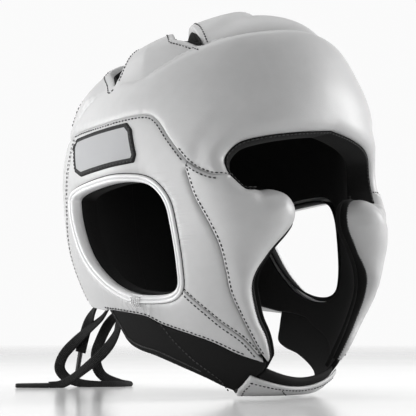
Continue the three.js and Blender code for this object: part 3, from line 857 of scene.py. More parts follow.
crease_right = smooth_line(CROWN_CREASE, RIDGE["step"])
crease_line = np.vstack([crease_right, crease_right[::-1][1:] * MIRROR])
crease_length = line_length(crease_line)
crease_area = np.vstack([crease_line[:, :2], BEHIND_CROWN])
brow_rows, side_rows, back_top_rows = (seam_rows(seam) for seam in (BROW_EDGE, SIDE_SEAM, BACK_TOP))
crown_half = np.vstack([brow_rows, side_rows, back_top_rows])
crown_outline = np.vstack([crown_half, crown_half[::-1][1:-1] * MIRROR[:2]])

brow_right = on_form(BROW_EDGE)
brow_line = np.vstack([brow_right[::-1] * MIRROR, brow_right[1:]])
side_line, back_top_line = on_form(SIDE_SEAM), on_form(BACK_TOP)
CROWN_EDGES = [
    (brow_line, 9.0, 6.5, False),
    (side_line, 5.0, 1.3, True),
    (side_line * MIRROR, 5.0, 1.3, True),
    (back_top_line, 7.0, 2.6, True),
    (back_top_line * MIRROR, 7.0, 2.6, True),
    (star_line, 3.0, 1.1, True),
]


def crown_depth(degrees, row):
    """Depth of the crown's face: its edges, the ridge, the hollows over the eyes and the side tabs."""
    depth = pad_depth(degrees, row, CROWN_EDGES, fullness=0.4, pucker=0.22)
    base, turned = form_point(degrees, row), np.abs(degrees)
    distance, along = nearest(base, crease_line)
    fade = np.clip(np.minimum(along, crease_length - along) / RIDGE["ends_fade"], 0, 1)
    crown_side = inside(base[:, :2], crease_area)
    brow_roll = rolled(distance, RIDGE["width"], RIDGE["drop"])
    tab_start = RIDGE["tabs_lower"] * np.exp(-distance / RIDGE["tabs_rise_over"])
    from_hollow = (nearest(base, brow_line)[0] - EYE_HOLLOW["from_brow"]) / EYE_HOLLOW["reach"]
    hollow = np.exp(-from_hollow ** 2) * ease(turned, *EYE_HOLLOW["degrees"])
    side_tab = (ease(turned, *SIDE_TAB["front"]) * ease(turned, *SIDE_TAB["back"])
                * ease(base[:, 2], *SIDE_TAB["height"]))
    swell = SIDE_TAB["swell"] * crown_side * side_tab * ease(distance, *SIDE_TAB["from_ridge"])
    return depth + hollow - swell + fade * np.where(crown_side, tab_start, brow_roll)


cut = cut_panel(crown_outline, [star], crown=True, spacing=CROWN_SPACING)
crown_pad = layered("crown_pad", cut, crown_depth(*cut[:2]), padding(*cut[:2]), ["crown_pad"], "leather")
sewn_lines = [edge[0] for edge in CROWN_EDGES] + [crease_line]
swell = fill(crown_pad, held_by(form_point(*cut[:2]), sewn_lines))
print("crown pad:", len(crown_pad.data.polygons), "triangles, swollen by", round(swell, 1), "mm")

# %% [markdown]
# The ear panel is a flat padded piece round the ear opening. The cheek pad is the thickest one:
# its foam swells from a thin rim at the face to full depth, and it laps over the ear panel. The
# jaw panel is thin leather under the ear opening. We shape the right side and mirror it. How deep
# the leather lies at the cheek and round the ear changes from place to place, so functions say it.

# %% Depth of the cheek and ear panels
CHEEK_LOW, CHEEK_CORNER = (-138, -160), {"degrees": (28, 33), "height": (-120, -106)}
CHEEK_TILT = {"depth": 5.0, "across": (50, 16), "height": (-165, -140)}
CHEEK_RIM = {"left": 2.0, "low_part": 0.6, "low_more": 1.0, "corner": 7.5}
CHEEK_ROLL = {"full": 23.0, "less": 14.0}
EAR_DIP = {"depth": 4.5, "fades": 14, "front": (-5, -35)}

ear_rows = as_rows(ring_line(EAR_HOLE))
ear_line = joined_up(form_point(*ear_rows.T))


def cheek_places(degrees, row):
    """How much a place is in the cheek's thin lower strip, and in its corner at the eye."""
    z = section(row)["z"]
    corner = ease(np.abs(degrees), *CHEEK_CORNER["degrees"]) * ease(z, *CHEEK_CORNER["height"])
    return ease(z, *CHEEK_LOW), corner


def cheek_tilt(base):
    """The pad curls in towards its tip, more than the form does."""
    tip = ease(np.abs(base[:, 0]), *CHEEK_TILT["across"]) * ease(base[:, 2], *CHEEK_TILT["height"])
    return CHEEK_TILT["depth"] * tip


def cheek_drop(degrees, row):
    """How far the leather comes down at the cheek's free edge."""
    low, corner = cheek_places(degrees, row)
    foam = padding(degrees, row)
    deep = foam - CHEEK_RIM["left"]
    deep = deep + (CHEEK_RIM["low_part"] * foam + CHEEK_RIM["low_more"] - deep) * low
    return deep + (CHEEK_RIM["corner"] - deep) * corner - cheek_tilt(form_point(degrees, row))


def cheek_roll(degrees, row):
    """The width over which it comes down."""
    return CHEEK_ROLL["full"] - CHEEK_ROLL["less"] * np.maximum(*cheek_places(degrees, row))


def ear_dip(base):
    """The panel dips towards the front of the ear opening."""
    near = np.exp(-nearest(base, ear_line)[0] / EAR_DIP["fades"])
    return EAR_DIP["depth"] * near * ease(base[:, 1], *EAR_DIP["front"])


print("ear opening round:", round(line_length(ear_line)), "mm")

# %% [markdown]
# The outlines are put together from the seams. Two panels that share a seam use the same line, so
# they meet on it. The woven patch lies on the ear panel, and the leather under it is held flat.

# %% Outlines of the side panels
CHEEK_TOP = {"cheek_to": 52.4, "ear_from": 52.6}
LAP_FOOT = {"cheek": -204, "lap": -204.2}
UNDER_EAR = [(70, -150), (95, -152), (101, -175)]
BACK_LOW = [(125, -171), (150, -167), (176.5, -163)]
BACK_GAP = [(176.5, -163), (176.5, -56)]
PATCH_OUTLINE = [(114, -64), (112, -58), (79, -55), (76, -60), (73, -77), (74, -82), (104, -86), (109, -82)]
MM_PER_DEGREE = 1.8
PATCH_STEP = 0.6

cheek_rows, cheek_edge_rows, lap_rows, jaw_rows, back_side_rows, back_low_rows, back_gap_rows = (
    seam_rows(seam) for seam in (CHEEK_SEAM, CHEEK_EDGE, LAP_SEAM, JAW_EDGE, BACK_SIDE, BACK_LOW, BACK_GAP))
cheek_seam_line, cheek_edge_line, lap_line, jaw_line, back_line, back_low_line, back_gap_line = (
    on_form(seam) for seam in (CHEEK_SEAM, CHEEK_EDGE, LAP_SEAM, JAW_EDGE, BACK_SIDE, BACK_LOW, BACK_GAP))
under_ear = as_rows(UNDER_EAR)
ear_outline = np.vstack([side_rows[side_rows[:, 0] > CHEEK_TOP["ear_from"]][::-1],
                         cheek_rows[cheek_rows[:, 1] < row_at(LAP_FOOT["cheek"])],
                         lap_rows[lap_rows[:, 1] < row_at(LAP_FOOT["lap"])], under_ear,
                         back_side_rows[::-1][:-1]])
cheek_outline = np.vstack([side_rows[side_rows[:, 0] < CHEEK_TOP["cheek_to"]], cheek_rows, cheek_edge_rows])
jaw_outline = np.vstack([under_ear[1:2], jaw_rows, lap_rows, under_ear[:1]])
back_outline = np.vstack([back_top_rows[:-4], back_gap_rows[::-1], back_low_rows[::-1],
                          back_side_rows[::-1][1:-1]])
patch_scale = (MM_PER_DEGREE, 1)
patch_rows = as_rows(closed_line(np.array(PATCH_OUTLINE, float) * patch_scale, PATCH_STEP) / patch_scale)
patch_line = joined_up(form_point(*patch_rows.T))
print("outlines, points:", [len(line) for line in (ear_outline, cheek_outline, jaw_outline, back_outline)])

# %% [markdown]
# Each edge of a panel has a line, the width of its roll, its drop, and whether it is sewn. Worn
# leather is creased in front of the ear opening and below the bar tack at its foot, so each point
# remembers how much, for the finish to use.

# %% Side panels
EAR_EDGES = [(side_line, 5.0, 1.3, True), (cheek_seam_line, 5.0, 2.2, True), (ear_line, 5.0, 2.4, True),
             (lap_line, 5.0, 2.0, True), (back_line, 6.0, 2.2, True)]
CHEEK_EDGES = [(side_line, 7.0, 2.6, True), (cheek_seam_line, 18.0, 3.2, True),
               (cheek_edge_line, cheek_roll, cheek_drop, False)]
JAW_EDGES = [(lap_line, 3.0, 1.2, True), (jaw_line, 2.6, 2.2, True), (ear_line, 4.0, 2.0, True)]
BACK_EDGES = [(back_line, 6.0, 2.2, True), (back_top_line, 7.0, 2.6, True),
              (back_low_line, 6.0, 6.0, True), (back_gap_line, 6.0, 6.0, True)]
SIDE_PIECES = {
    "ear_panel": (ear_outline, [ear_rows], EAR_EDGES,
                  {"fullness": 0.3, "pucker": 0.22, "raised": lambda base: -ear_dip(base)}),
    "cheek_pad": (cheek_outline, [], CHEEK_EDGES,
                  {"fullness": 0.2, "pucker": 0.2, "raised": lambda base: 1.7 - cheek_tilt(base)}),
    "jaw_panel": (jaw_outline, [ear_rows], JAW_EDGES,
                  {"fullness": 0.3, "pucker": 0.15, "raised": lambda base: 0.2 - ear_dip(base)}),
    "back_pad": (back_outline, [], BACK_EDGES, {"fullness": 0.4, "pucker": 0.25}),
}
CREASED = {"from_ear": 7.0, "front": (-28, -40), "foot": (-142, -130), "top": (-84, -96), "from_tack": 11.0}
TACK_LEAN = 0.25
tack = int(np.argmin(ear_line[:-1, 2] - TACK_LEAN * ear_line[:-1, 1]))


def creases(base):
    """How creased each place is: in front of the ear opening, and below its bar tack."""
    slanted = (np.exp(-nearest(base, ear_line)[0] / CREASED["from_ear"])
               * ease(base[:, 1], *CREASED["front"])
               * ease(base[:, 2], *CREASED["foot"]) * ease(base[:, 2], *CREASED["top"]))
    upright = np.exp(-((base - ear_line[tack]) ** 2).sum(1) / CREASED["from_tack"] ** 2)
    return {"slanted_creases": slanted, "upright_creases": upright}


for name, (outline, holes, edges, shape) in SIDE_PIECES.items():
    cut = cut_panel(outline, holes)
    right = pad(f"{name}_right", cut, edges, **shape)
    base = form_point(*cut[:2])
    under_patch = inside(np.column_stack(cut[:2]), patch_rows)
    held = held_by(base, [edge[0] for edge in edges] + [patch_line])
    swell = fill(right, np.maximum(held, under_patch))
    other = mirrored(right, f"{name}_left", [f"{name}_left"], "leather")
    for made in (right, other):
        for crease, worn in creases(base).items():
            made.data.attributes.new(crease, "FLOAT", "POINT").data.foreach_set("value", np.tile(worn, 2))
    print(name, len(right.data.polygons), "triangles, swollen by", round(swell, 1), "mm")

# %% [markdown]
# Under the jaw a panel of black stretch cloth follows the neck. It is thin, so it has only a
# small rolled hem.

# %% Neck panels
NECK_DEPTH = {"outer": 0.9, "inner": 4.0}
neck_edge_rows = seam_rows(NECK_EDGE)
neck_outline = np.vstack([jaw_rows, seam_rows(NECK_FRONT), neck_edge_rows])
NECK_EDGES = [(on_form(NECK_EDGE), 2.2, 1.6, True), (jaw_line, 3.0, 0.6, False),
              (on_form(NECK_FRONT), 2.0, 0.6, False)]
neck_right = pad("neck_panel_right", cut_panel(neck_outline), NECK_EDGES, "stretch_cloth",
                 inner=lambda degrees, row: np.full(len(row), NECK_DEPTH["inner"]),
                 fullness=0.0, pucker=0.12, raised=-NECK_DEPTH["outer"])
neck_left = mirrored(neck_right, "neck_panel_left", ["neck_panel_left"], "stretch_cloth")

# %% [markdown]
# The lining is the black inner skin that the wearer feels. We make its dome on the crown chart
# and its sides on the other one, with the face and ear openings cut out.

# %% Lining
LINING_THICK = 2.5
LINING_GAP = 0.3
LINING_SHOWS = 2.2
LINING_SPLIT = -50.0
LINING_SPACING = 3.4
DOME_TURN = 2.0
LINING_EDGE = [(21, -216), (27, -212), (36, -206), (46, -199.5), (56, -194.5), (69, -188.5), (78, -182.5),
               (90, -179), (102, -177), (118, -172), (130, -168), (180, -163)]
dome_ring = as_rows([(turn, LINING_SPLIT) for turn in np.arange(-180, 180, DOME_TURN)])
half = np.vstack([as_rows([(180, LINING_SPLIT), LINING_EDGE[-1]]), seam_rows(LINING_EDGE)[::-1],
                  cheek_edge_rows - (LINING_SHOWS, 0), brow_rows[::-1]])
wrap = np.vstack([half, half[::-1] * MIRROR[:2]])
parts, base = [], 0
for outline, holes, crown in ((dome_ring, [], True), (wrap, [ear_rows, ear_rows * MIRROR[:2]], False)):
    degrees, row, faces = cut_panel(outline, holes, crown=crown, spacing=LINING_SPACING)
    depth = padding(degrees, row) + LINING_GAP
    points, faces = pad_faces(skin(degrees, row, depth), skin(degrees, row, depth + LINING_THICK), faces)
    parts.append((points, faces + base))
    base += len(points)
lining = piece("lining", np.vstack([p for p, _ in parts]), np.vstack([f for _, f in parts]), ["lining"],
               "lining_cloth")
print("lining:", len(lining.data.polygons), "triangles")

# %% [markdown]
# A white piped border is sewn round each ear opening and turns in over the foam. It is a bead, a
# groove and a wall, so one profile swept round the opening makes them all. Deeper in, the black
# lining turns out to meet it. A thin black cord where the border meets the leather is painted
# shade: it stands for the shadow in that crevice. Deeper in, the black
# lining turns out to meet it, and a dark line of thread shows where the border meets the leather.

# %% Ear borders
def sweep(name, at, inward, normal, profile, nodes, slot, closed):
    """A profile of (distance inward, depth) for each point of a line, joined into a tube."""
    points = at[:, None] + inward[:, None] * profile[..., :1] - normal[:, None] * profile[..., 1:]
    faces = tube_faces(len(at), profile.shape[1], closed)
    return piece(name, points.reshape(-1, 3), faces, nodes, slot)


def frame_along(degrees, row, towards, closed):
    """Points on the form with their outward way and the way across the line, towards a point."""
    at = form_point(degrees, row)
    if closed:
        along = np.roll(at, -1, axis=0) - np.roll(at, 1, axis=0)
    else:
        along = np.gradient(at, axis=0)
    normal = form_normal(degrees, row)
    across = unit(np.cross(normal, along))
    side = np.sign(((towards - at) * across).sum(1).mean())
    return at, across * side, normal


EAR_BEAD = [(-0.9, 2.8), (-0.6, 0.4), (0.0, -0.7), (0.8, -1.1), (1.5, -0.7), (1.9, 0.1), (2.05, 1.2),
            (2.3, 0.3), (2.9, -0.1), (3.6, 0.2), (4.1, 1.2), (4.3, 2.8)]
EAR_WALL = [(4.3, 0.25), (4.2, 0.40), (3.0, 0.42)]
EAR_TUNNEL = [(3.0, 0.34), (4.0, 0.38), (4.0, 1.0), (2.6, 1.0)]
# A thin black cord in the crevice between the border and the leather: painted shade.
CREVICE_SHADE_CORD = [(-1.2, 0.9), (-1.0, 0.45), (-0.6, 0.35), (-0.4, 0.8), (-0.8, 1.1)]
EAR_MIDDLE = ear_line.mean(0)
ear_at, ear_across, ear_normal = frame_along(*ear_rows.T, EAR_MIDDLE, True)
ear_deep = padding(*ear_rows.T) + LINING_GAP + LINING_THICK - ear_dip(ear_at)
ear_at = ear_at - ear_normal * ear_dip(ear_at)[:, None]


def round_ear(name, profile, deep_profile, nodes, slot):
    """A profile round the ear opening: fixed points, then points whose depth is a part of the wall's."""
    fixed = np.broadcast_to(np.array(profile, float).reshape(-1, 2), (len(ear_at), len(profile), 2))
    depths = np.stack([np.ones(len(ear_at)), ear_deep], -1)
    wall = np.array(deep_profile, float).reshape(1, -1, 2) * depths[:, None]
    made = sweep(f"{name}_right", ear_at, ear_across, ear_normal, np.concatenate([fixed, wall], 1),
                 [f"{n}_right" for n in nodes], slot, True)
    mirrored(made, f"{name}_left", [f"{n}_left" for n in nodes], slot)
    return made


ear_border = round_ear("ear_border", EAR_BEAD, EAR_WALL, ["ear_border"], "white_piping")
ear_tunnel = round_ear("ear_tunnel", [], EAR_TUNNEL, [], "lining_cloth")
# The black cord is painted shade along the crevice between the border and the leather.
ear_seam = round_ear("ear_seam", CREVICE_SHADE_CORD, [], [], "lining_cloth")
print("ear border, wall and cord:", [len(made.data.polygons) for made in (ear_border, ear_tunnel, ear_seam)])

# %% [markdown]
# A black strip binds the whole face opening: it wraps the raw edge of the foam from the leather
# back to the lining. Its profile starts where the leather ends, which is shallow at the brow and
# the lower cheek and deep at the thick cheek tip. The walls of the crown slots are made the same
# way. A profile's points are the place across, the part of the way down and a step deeper.

# %% Face binding
BINDING = np.array([(-0.4, 0, 0.8), (0.3, 0, -0.1), (0.9, 0, 0.3), (1.3, 0, 1.5), (1.4, 0.5, 0),
                    (1.4, 1, -1.0), (1.2, 1, 0), (-0.4, 1, 0)])
SLOT_WALL = np.array([(-0.2, 0, 1.5), (0.3, 0, 1.0), (0.8, 0, 1.6), (0.8, 1, 0), (-0.2, 1, 0)])
BROW_LEATHER = 6.0
CHEEK_LAP = 1.5
EYE_CORNER = {"above": -110, "from": 29}
BROW_MIDDLE, CHEEK_MIDDLE = np.array((0, -90, -100)), np.array((0, -110, -150))
BROW_STEP = 0.8


def wall_profile(columns, start, end):
    """Places across a wall, each at a part of the way from the leather to the lining, and deeper."""
    across, part, deeper = columns.T
    depth = start[:, None] + (end - start)[:, None] * part + deeper
    return np.stack([np.broadcast_to(across, depth.shape), depth], -1)


def bind(name, line, towards, start, nodes):
    """A binding along a free edge, from the depth where the leather ends to the lining."""
    end = padding(*line.T) + LINING_GAP + LINING_THICK
    return sweep(name, *frame_along(*line.T, towards, False), wall_profile(BINDING, start, end), nodes,
                 "lining_cloth", False)


at_corner = np.flatnonzero((cheek_edge_rows[:, 1] < row_at(EYE_CORNER["above"]))
                           & (cheek_edge_rows[:, 0] > EYE_CORNER["from"]))[0]
half = smooth_line(np.vstack([brow_rows, cheek_edge_rows[at_corner:][::-1][2:]])[::6], BROW_STEP)
binding_rows = np.vstack([half[::-1] * MIRROR[:2], half[1:]])
brow_binding = bind("brow_binding", binding_rows, BROW_MIDDLE, np.full(len(binding_rows), BROW_LEATHER),
                    ["brow_binding"])
cheek_rim = cheek_edge_rows[:at_corner + 1][::2]
cheek_deep = cheek_drop(*cheek_rim.T) + cheek_tilt(form_point(*cheek_rim.T))
cheek_binding = bind("cheek_binding_right", cheek_rim, CHEEK_MIDDLE, cheek_deep - CHEEK_LAP, [])
mirrored(cheek_binding, "cheek_binding_left", [], "lining_cloth")
slot_deep = padding(*star.T) + LINING_GAP
crown_gusset = sweep("crown_gusset", *frame_along(*star.T, np.array((*CROWN_MIDDLE, 0)), True),
                     wall_profile(SLOT_WALL, 0 * slot_deep, slot_deep), [], "lining_cloth", True)
print("bindings:", [len(made.data.polygons) for made in (brow_binding, cheek_binding, crown_gusset)], "faces")

# %% [markdown]
# A woven patch is sewn on the wearer's right side. Its field is plain and its border is a denser
# weave, so each point remembers how far it is from the edge.

# %% Woven patch
PATCH_THICK = 1.2
PATCH_SPACING = 1.8
PATCH_EDGE = {"roll": 1.2, "drop": 0.9}
PATCH_FIELD = {"lower": 0.25, "starts": 2.4, "over": 0.5}
PATCH_SUNK = 0.3


def side_depth(line, name):
    """Depth of a side piece's face at places given as (degrees, row)."""
    _, _, edges, shape = SIDE_PIECES[name]
    return pad_depth(*line.T, edges, **shape)


cut = cut_panel(patch_rows, spacing=PATCH_SPACING)
under = side_depth(np.column_stack(cut[:2]), "ear_panel")
edge = nearest(form_point(*cut[:2]), patch_line)[0]
field = np.clip((edge - PATCH_FIELD["starts"]) / PATCH_FIELD["over"], 0, 1)
face_depth = (under - PATCH_THICK + rolled(edge, PATCH_EDGE["roll"], PATCH_EDGE["drop"])
              + PATCH_FIELD["lower"] * field)
patch = layered("label_patch", cut, face_depth, under + PATCH_SUNK, ["label_patch"], "woven_patch")
patch.data.attributes.new("edge_mm", "FLOAT", "POINT").data.foreach_set("value", np.tile(edge, 2))
print("woven patch:", len(patch.data.polygons), "triangles")

# %% [markdown]
# Under the chin a black band closes the loop from jaw to jaw. Its outer side is faced with a tab
# of the same leather, sewn on at a slant at the wearer's right.

# %% Chin strap and tab
CHIN_STRAP = {"middle": -221.5, "right": -214, "left": -214, "low": -229.8,
              "right_end": (22, 31), "left_end": (-22, -31), "outer": 0.6, "inner": 4.0}
CHIN_TAB = {"middle": -224.5, "right": -216.5, "left": -214, "low": -228.8,
            "right_end": (28, 32), "left_end": (-27, -31), "outer": -1.9, "inner": 0.3}
CHIN_SLANT = 0.6
CHIN_GRID = {"columns": 72, "rows": 20}
CHIN_EDGE = {"height": 22, "half_length": 42, "roll": 2.2, "drop": 0.6}


def chin_place(size, u, v):
    """Degrees and row of a place on a band: u runs from end to end, v from the top edge down."""
    rise = np.where(u > 0, size["right"], size["left"]) - size["middle"]
    ends = np.where(u[..., None] > 0, size["right_end"], size["left_end"])
    degrees = np.abs(u) * (ends[..., 0] + (ends[..., 1] - ends[..., 0]) * np.minimum(v / CHIN_SLANT, 1))
    top = row_at(size["middle"] + rise * u**2)
    return degrees, top + (row_at(size["low"]) - top) * v


def chin_band(name, size, slot):
    """A band under the chin, as a grid of places with a rolled edge."""
    columns, rows = CHIN_GRID["columns"], CHIN_GRID["rows"]
    u = np.linspace(-1, 1, columns)[None, :] + np.zeros((rows, 1))
    v = np.linspace(0, 1, rows)[:, None] + 0 * u
    degrees, row = chin_place(size, u, v)
    edge = np.minimum(np.minimum(v, 1 - v) * CHIN_EDGE["height"], (1 - np.abs(u)) * CHIN_EDGE["half_length"])
    drop = (size["inner"] - size["outer"]) * CHIN_EDGE["drop"]
    outer_depth = size["outer"] + rolled(edge, CHIN_EDGE["roll"], drop)
    index = np.arange(rows * columns).reshape(rows, columns)
    a, b, c, d = (x.ravel() for x in (index[:-1, :-1], index[:-1, 1:], index[1:, 1:], index[1:, :-1]))
    faces = np.vstack([np.column_stack([a, b, c]), np.column_stack([a, c, d])])
    return layered(name, (degrees.ravel(), row.ravel(), faces), outer_depth.ravel(),
                   np.full(rows * columns, size["inner"]), [name], slot)


chin_strap = chin_band("chin_strap", CHIN_STRAP, "stretch_cloth")
chin_tab = chin_band("chin_tab", CHIN_TAB, "leather")
print("chin strap and tab:", [len(made.data.polygons) for made in (chin_strap, chin_tab)], "triangles")

# %% [markdown]
# At the back the two pads are drawn together by the lace. Each crossing is a short flat strip over
# the gap, and the knot at the foot holds the loop and the ends.

# %% Lacing at the back
BAR_HEIGHTS = (-68, -88, -107, -126, -145)
BAR = {"slant": 2.5, "half_turn": 8, "flat_to": 6, "stands_off": 1.6, "sinks": 3.5, "points": 40}
spread = np.linspace(-BAR["half_turn"], BAR["half_turn"], BAR["points"])
sinking = np.clip((np.abs(spread) - BAR["flat_to"]) / (BAR["half_turn"] - BAR["flat_to"]), 0, 1)
for number, height in enumerate(BAR_HEIGHTS, 1):
    slant = BAR["slant"] * np.sin(spread / BAR["half_turn"] * math.pi / 2) * (-1) ** number
    row = row_at(height + slant)
    crossing = skin(180 + spread, row, BAR["sinks"] * sinking - BAR["stands_off"])
    lace_strip(f"lace_bar_{number}", crossing, form_normal(180 + spread, row))

KNOT_AT, KNOT_SIZE = np.array((0, 99.6, -157.6)), np.array((7.5, 4.8, 6.0))
KNOT_SIDES, KNOT_RINGS = 40, 22
KNOT_FOLDS = {"depth": 0.09, "round": 5, "up": 4}
turn = np.linspace(0, 2 * math.pi, KNOT_SIDES, endpoint=False)
rise = np.linspace(-math.pi / 2, math.pi / 2, KNOT_RINGS + 2)[1:-1, None]
flat = np.cos(rise)
ball = np.stack(np.broadcast_arrays(flat * np.cos(turn), flat * np.sin(turn), np.sin(rise)), -1)
folds = KNOT_FOLDS["depth"] * np.sin(KNOT_FOLDS["round"] * turn + KNOT_FOLDS["up"] * rise)
ball = ball * (1 + folds)[..., None] * KNOT_SIZE + KNOT_AT
knot = piece("lace_knot", ball.reshape(-1, 3), tube_faces(KNOT_RINGS, KNOT_SIDES), ["lace_knot"], "lace")
print("lacing:", len(BAR_HEIGHTS), "crossings and a knot of", len(knot.data.polygons), "faces")

# %% [markdown]
# Every sewn edge has a row of stitches. A machine lays them at one pitch, so they are a repeat: a
# Geometry Nodes group takes a line, walks along it in even steps and sets one small loop of
# thread at each step, turned along the line. The rows run on the pads' own faces, so each row is
# the seam moved sideways over the form, at the depth that the pad has there.

# %% Stitch group
THREAD_BALL = {"Segments": 8, "Rings": 6, "Radius": 0.5}
UNEVEN = {"Min": 0.85, "Max": 1.1}


def stitch_group():
    """A node group that sets one loop of thread at each step along a line."""
    group = bpy.data.node_groups.new("stitch_row", "GeometryNodeTree")
    face = group.interface
    face.new_socket("Geometry", in_out="INPUT", socket_type="NodeSocketGeometry")
    for name in ("Pitch", "Length", "Thread"):
        face.new_socket(name, in_out="INPUT", socket_type="NodeSocketFloat")
    face.new_socket("Seed", in_out="INPUT", socket_type="NodeSocketInt")
    face.new_socket("Material", in_out="INPUT", socket_type="NodeSocketMaterial")
    face.new_socket("Geometry", in_out="OUTPUT", socket_type="NodeSocketGeometry")

    def node(kind, settings=(), sockets=()):
        made = group.nodes.new(kind)
        for name, value in dict(settings).items():
            setattr(made, name, value)
        for name, value in dict(sockets).items():
            if isinstance(value, bpy.types.NodeSocket):
                group.links.new(value, made.inputs[name])
            else:
                made.inputs[name].default_value = value
        return made.outputs

    given = node("NodeGroupInput")
    line = node("GeometryNodeMeshToCurve", (), {"Mesh": given["Geometry"]})["Curve"]
    steps = node("GeometryNodeResampleCurve", {"mode": "LENGTH"}, {"Curve": line, "Length": given["Pitch"]})
    turn = node("FunctionNodeAlignRotationToVector", {"axis": "X"},
                {"Vector": node("GeometryNodeInputTangent")["Tangent"]})["Rotation"]
    ball = node("GeometryNodeMeshUVSphere", (), THREAD_BALL)["Mesh"]
    shape = node("ShaderNodeCombineXYZ", (),
                 {"X": given["Length"], "Y": given["Thread"], "Z": given["Thread"]})["Vector"]
    loop = node("GeometryNodeTransform", (), {"Geometry": ball, "Scale": shape})["Geometry"]
    uneven = node("FunctionNodeRandomValue", {"data_type": "FLOAT"}, UNEVEN | {"Seed": given["Seed"]})
    size = next(out for out in uneven if out.enabled)
    row = node("GeometryNodeInstanceOnPoints", (),
               {"Points": steps["Curve"], "Instance": loop, "Rotation": turn, "Scale": size})["Instances"]
    real = node("GeometryNodeRealizeInstances", (), {"Geometry": row})["Geometry"]
    soft = node("GeometryNodeSetShadeSmooth", (), {"Geometry": real})["Geometry"]
    done = node("GeometryNodeSetMaterial", (), {"Geometry": soft, "Material": given["Material"]})["Geometry"]
    node("NodeGroupOutput", (), {"Geometry": done})
    return group


STITCHES = stitch_group()
print("stitch group:", len(STITCHES.nodes), "nodes")

# %% [markdown]
# Moving a seam sideways needs the way across it. On the form that is the cross product of the
# seam's own way and the outward way, and two small steps tell how many degrees and rows it makes.
# Each row is listed as a seam, its distance from it, a point that it moves towards and the piece
# that it lies on.

# %% Place the stitch rows
STITCH_LIFT = 0.15
DEGREE_STEP, ROW_STEP = (0.5, 0), (0, 0.02)
NECK_SEAM = [(69, -186), (64, -196), (56, -207), (48, -215), (42, -221), (38, -227)]
HEM = {"from_edge": 4.0, "zigzag": 1.2}
CHEEK_SIDE, FACE, FOREHEAD = (-60, -80, -150), (0, -120, -130), (-40, -90, -20)
ABOVE_LAP, BELOW_LAP = (-75, -110, -150), (-20, -40, -230)
NECK_SIDE, CHIN, BACK = (-70, -40, -180), (0, -90, -200), (0, 110, -110)
SIDE_SPLIT = {"cheek_to": 52, "ear_from": 54, "crown_to": 56}
CHEEK_ROW_END = -203
LEFT_OUT = {"eye_corner": 6, "lap_foot": 8, "jaw_tip": 14, "hem_front": 30, "back_ends": 6}


def slope(line, step):
    """How far a place on the form moves for one degree or one row, from a small step either way."""
    return (form_point(*(line + step).T) - form_point(*(line - step).T)) / (2 * max(step))


def shifted(line, distance, towards):
    """A line of (degrees, row) moved sideways over the form towards a point."""
    across = frame_along(*line.T, np.asarray(towards, float), False)[1] * distance
    turn, down = slope(line, DEGREE_STEP), slope(line, ROW_STEP)
    tt, td, dd = (turn * turn).sum(1), (turn * down).sum(1), (down * down).sum(1)
    ta, da = (turn * across).sum(1), (down * across).sum(1)
    fall = tt * dd - td**2
    return line + np.column_stack([(ta * dd - da * td) / fall, (da * tt - ta * td) / fall])


def on_pad(line, name):
    """Points of a line of (degrees, row) on the face of a side piece."""
    return skin(*line.T, side_depth(line, name) - STITCH_LIFT)


def on_crown(line):
    """Points of a line of (degrees, row) on the face of the crown pad."""
    return skin(*line.T, crown_depth(*line.T) - STITCH_LIFT)


def sewn(rows):
    """Lines of a list of rows, on the faces of their pieces."""
    return [on_pad(shifted(line, distance, towards), name) for line, distance, towards, name in rows]


def both_sides(lines):
    """Lines of the wearer's right side and their mirror images."""
    return lines + [line * MIRROR for line in lines]


side_turn = side_rows[:, 0]
lap_row = lap_rows[LEFT_OUT["lap_foot"]:]
back_row = back_side_rows[LEFT_OUT["back_ends"]:-LEFT_OUT["back_ends"]]
right_rows = sewn([
    (side_rows[side_turn > SIDE_SPLIT["ear_from"]], 2.2, EAR_MIDDLE, "ear_panel"),
    (side_rows[side_turn < SIDE_SPLIT["cheek_to"]][LEFT_OUT["eye_corner"]:], 2.4, CHEEK_SIDE, "cheek_pad"),
    (cheek_rows[cheek_rows[:, 1] < row_at(CHEEK_ROW_END)], 1.3, FACE, "cheek_pad"),
    (lap_row, 1.9, ABOVE_LAP, "ear_panel"),
    (lap_row, 1.9, BELOW_LAP, "jaw_panel"),
    (jaw_rows[:-LEFT_OUT["jaw_tip"]], 2.4, EAR_MIDDLE, "jaw_panel"),
])
right_rows.append(on_crown(shifted(side_rows[side_turn < SIDE_SPLIT["crown_to"]], 1.2, FOREHEAD)))
hem = shifted(neck_edge_rows[LEFT_OUT["hem_front"]:], HEM["from_edge"], NECK_SIDE)
zigzag = shifted(hem, HEM["zigzag"], NECK_SIDE)
zigzag[::2] = hem[::2]
for line in (shifted(seam_rows(NECK_SEAM), 1.2, CHIN), zigzag):
    right_rows.append(skin(*line.T, np.full(len(line), NECK_DEPTH["outer"] - STITCH_LIFT)))
stitch_lines = both_sides(right_rows)
back_lines = both_sides(sewn([(back_row, 2.2, EAR_MIDDLE, "ear_panel"), (back_row, 2.2, BACK, "back_pad")]))
print("stitch rows:", len(stitch_lines), "and at the back:", len(back_lines))

# %% [markdown]
# The crown's slots, the woven patch, the bindings and the chin tab have rows of their own, and the
# ear border is tacked down by a few long bars of thread. A row round the slots is broken wherever
# it would run into the next slot.

# %% Rows on the crown, patch, bindings and tab
SLOT_ROW = {"from_edge": 3.6, "clear": 3.3, "longest_step": 4, "fewest_points": 8, "each_way": 3}
PATCH_ROW = {"from_edge": 1.2, "lift": 0.05}
BINDING_ROW = {"across": 1.1, "deeper": 0.9}
CHEEK_ROW = 1.7
TAB_ROWS = [((-0.92, 0.16), (0.92, 0.16)), ((0.92, 0.16), (0.92, 0.85)), ((0.34, 0.30), (0.16, 0.72))]
TAB_POINTS, TAB_LIFT = 60, 0.1
TACK = {"bars": (-2, -1, 0, 1, 2), "from": -3.5, "to": 3.4, "points": 24,
        "lift": 0.9, "bow": 0.6, "wave": 0.8}

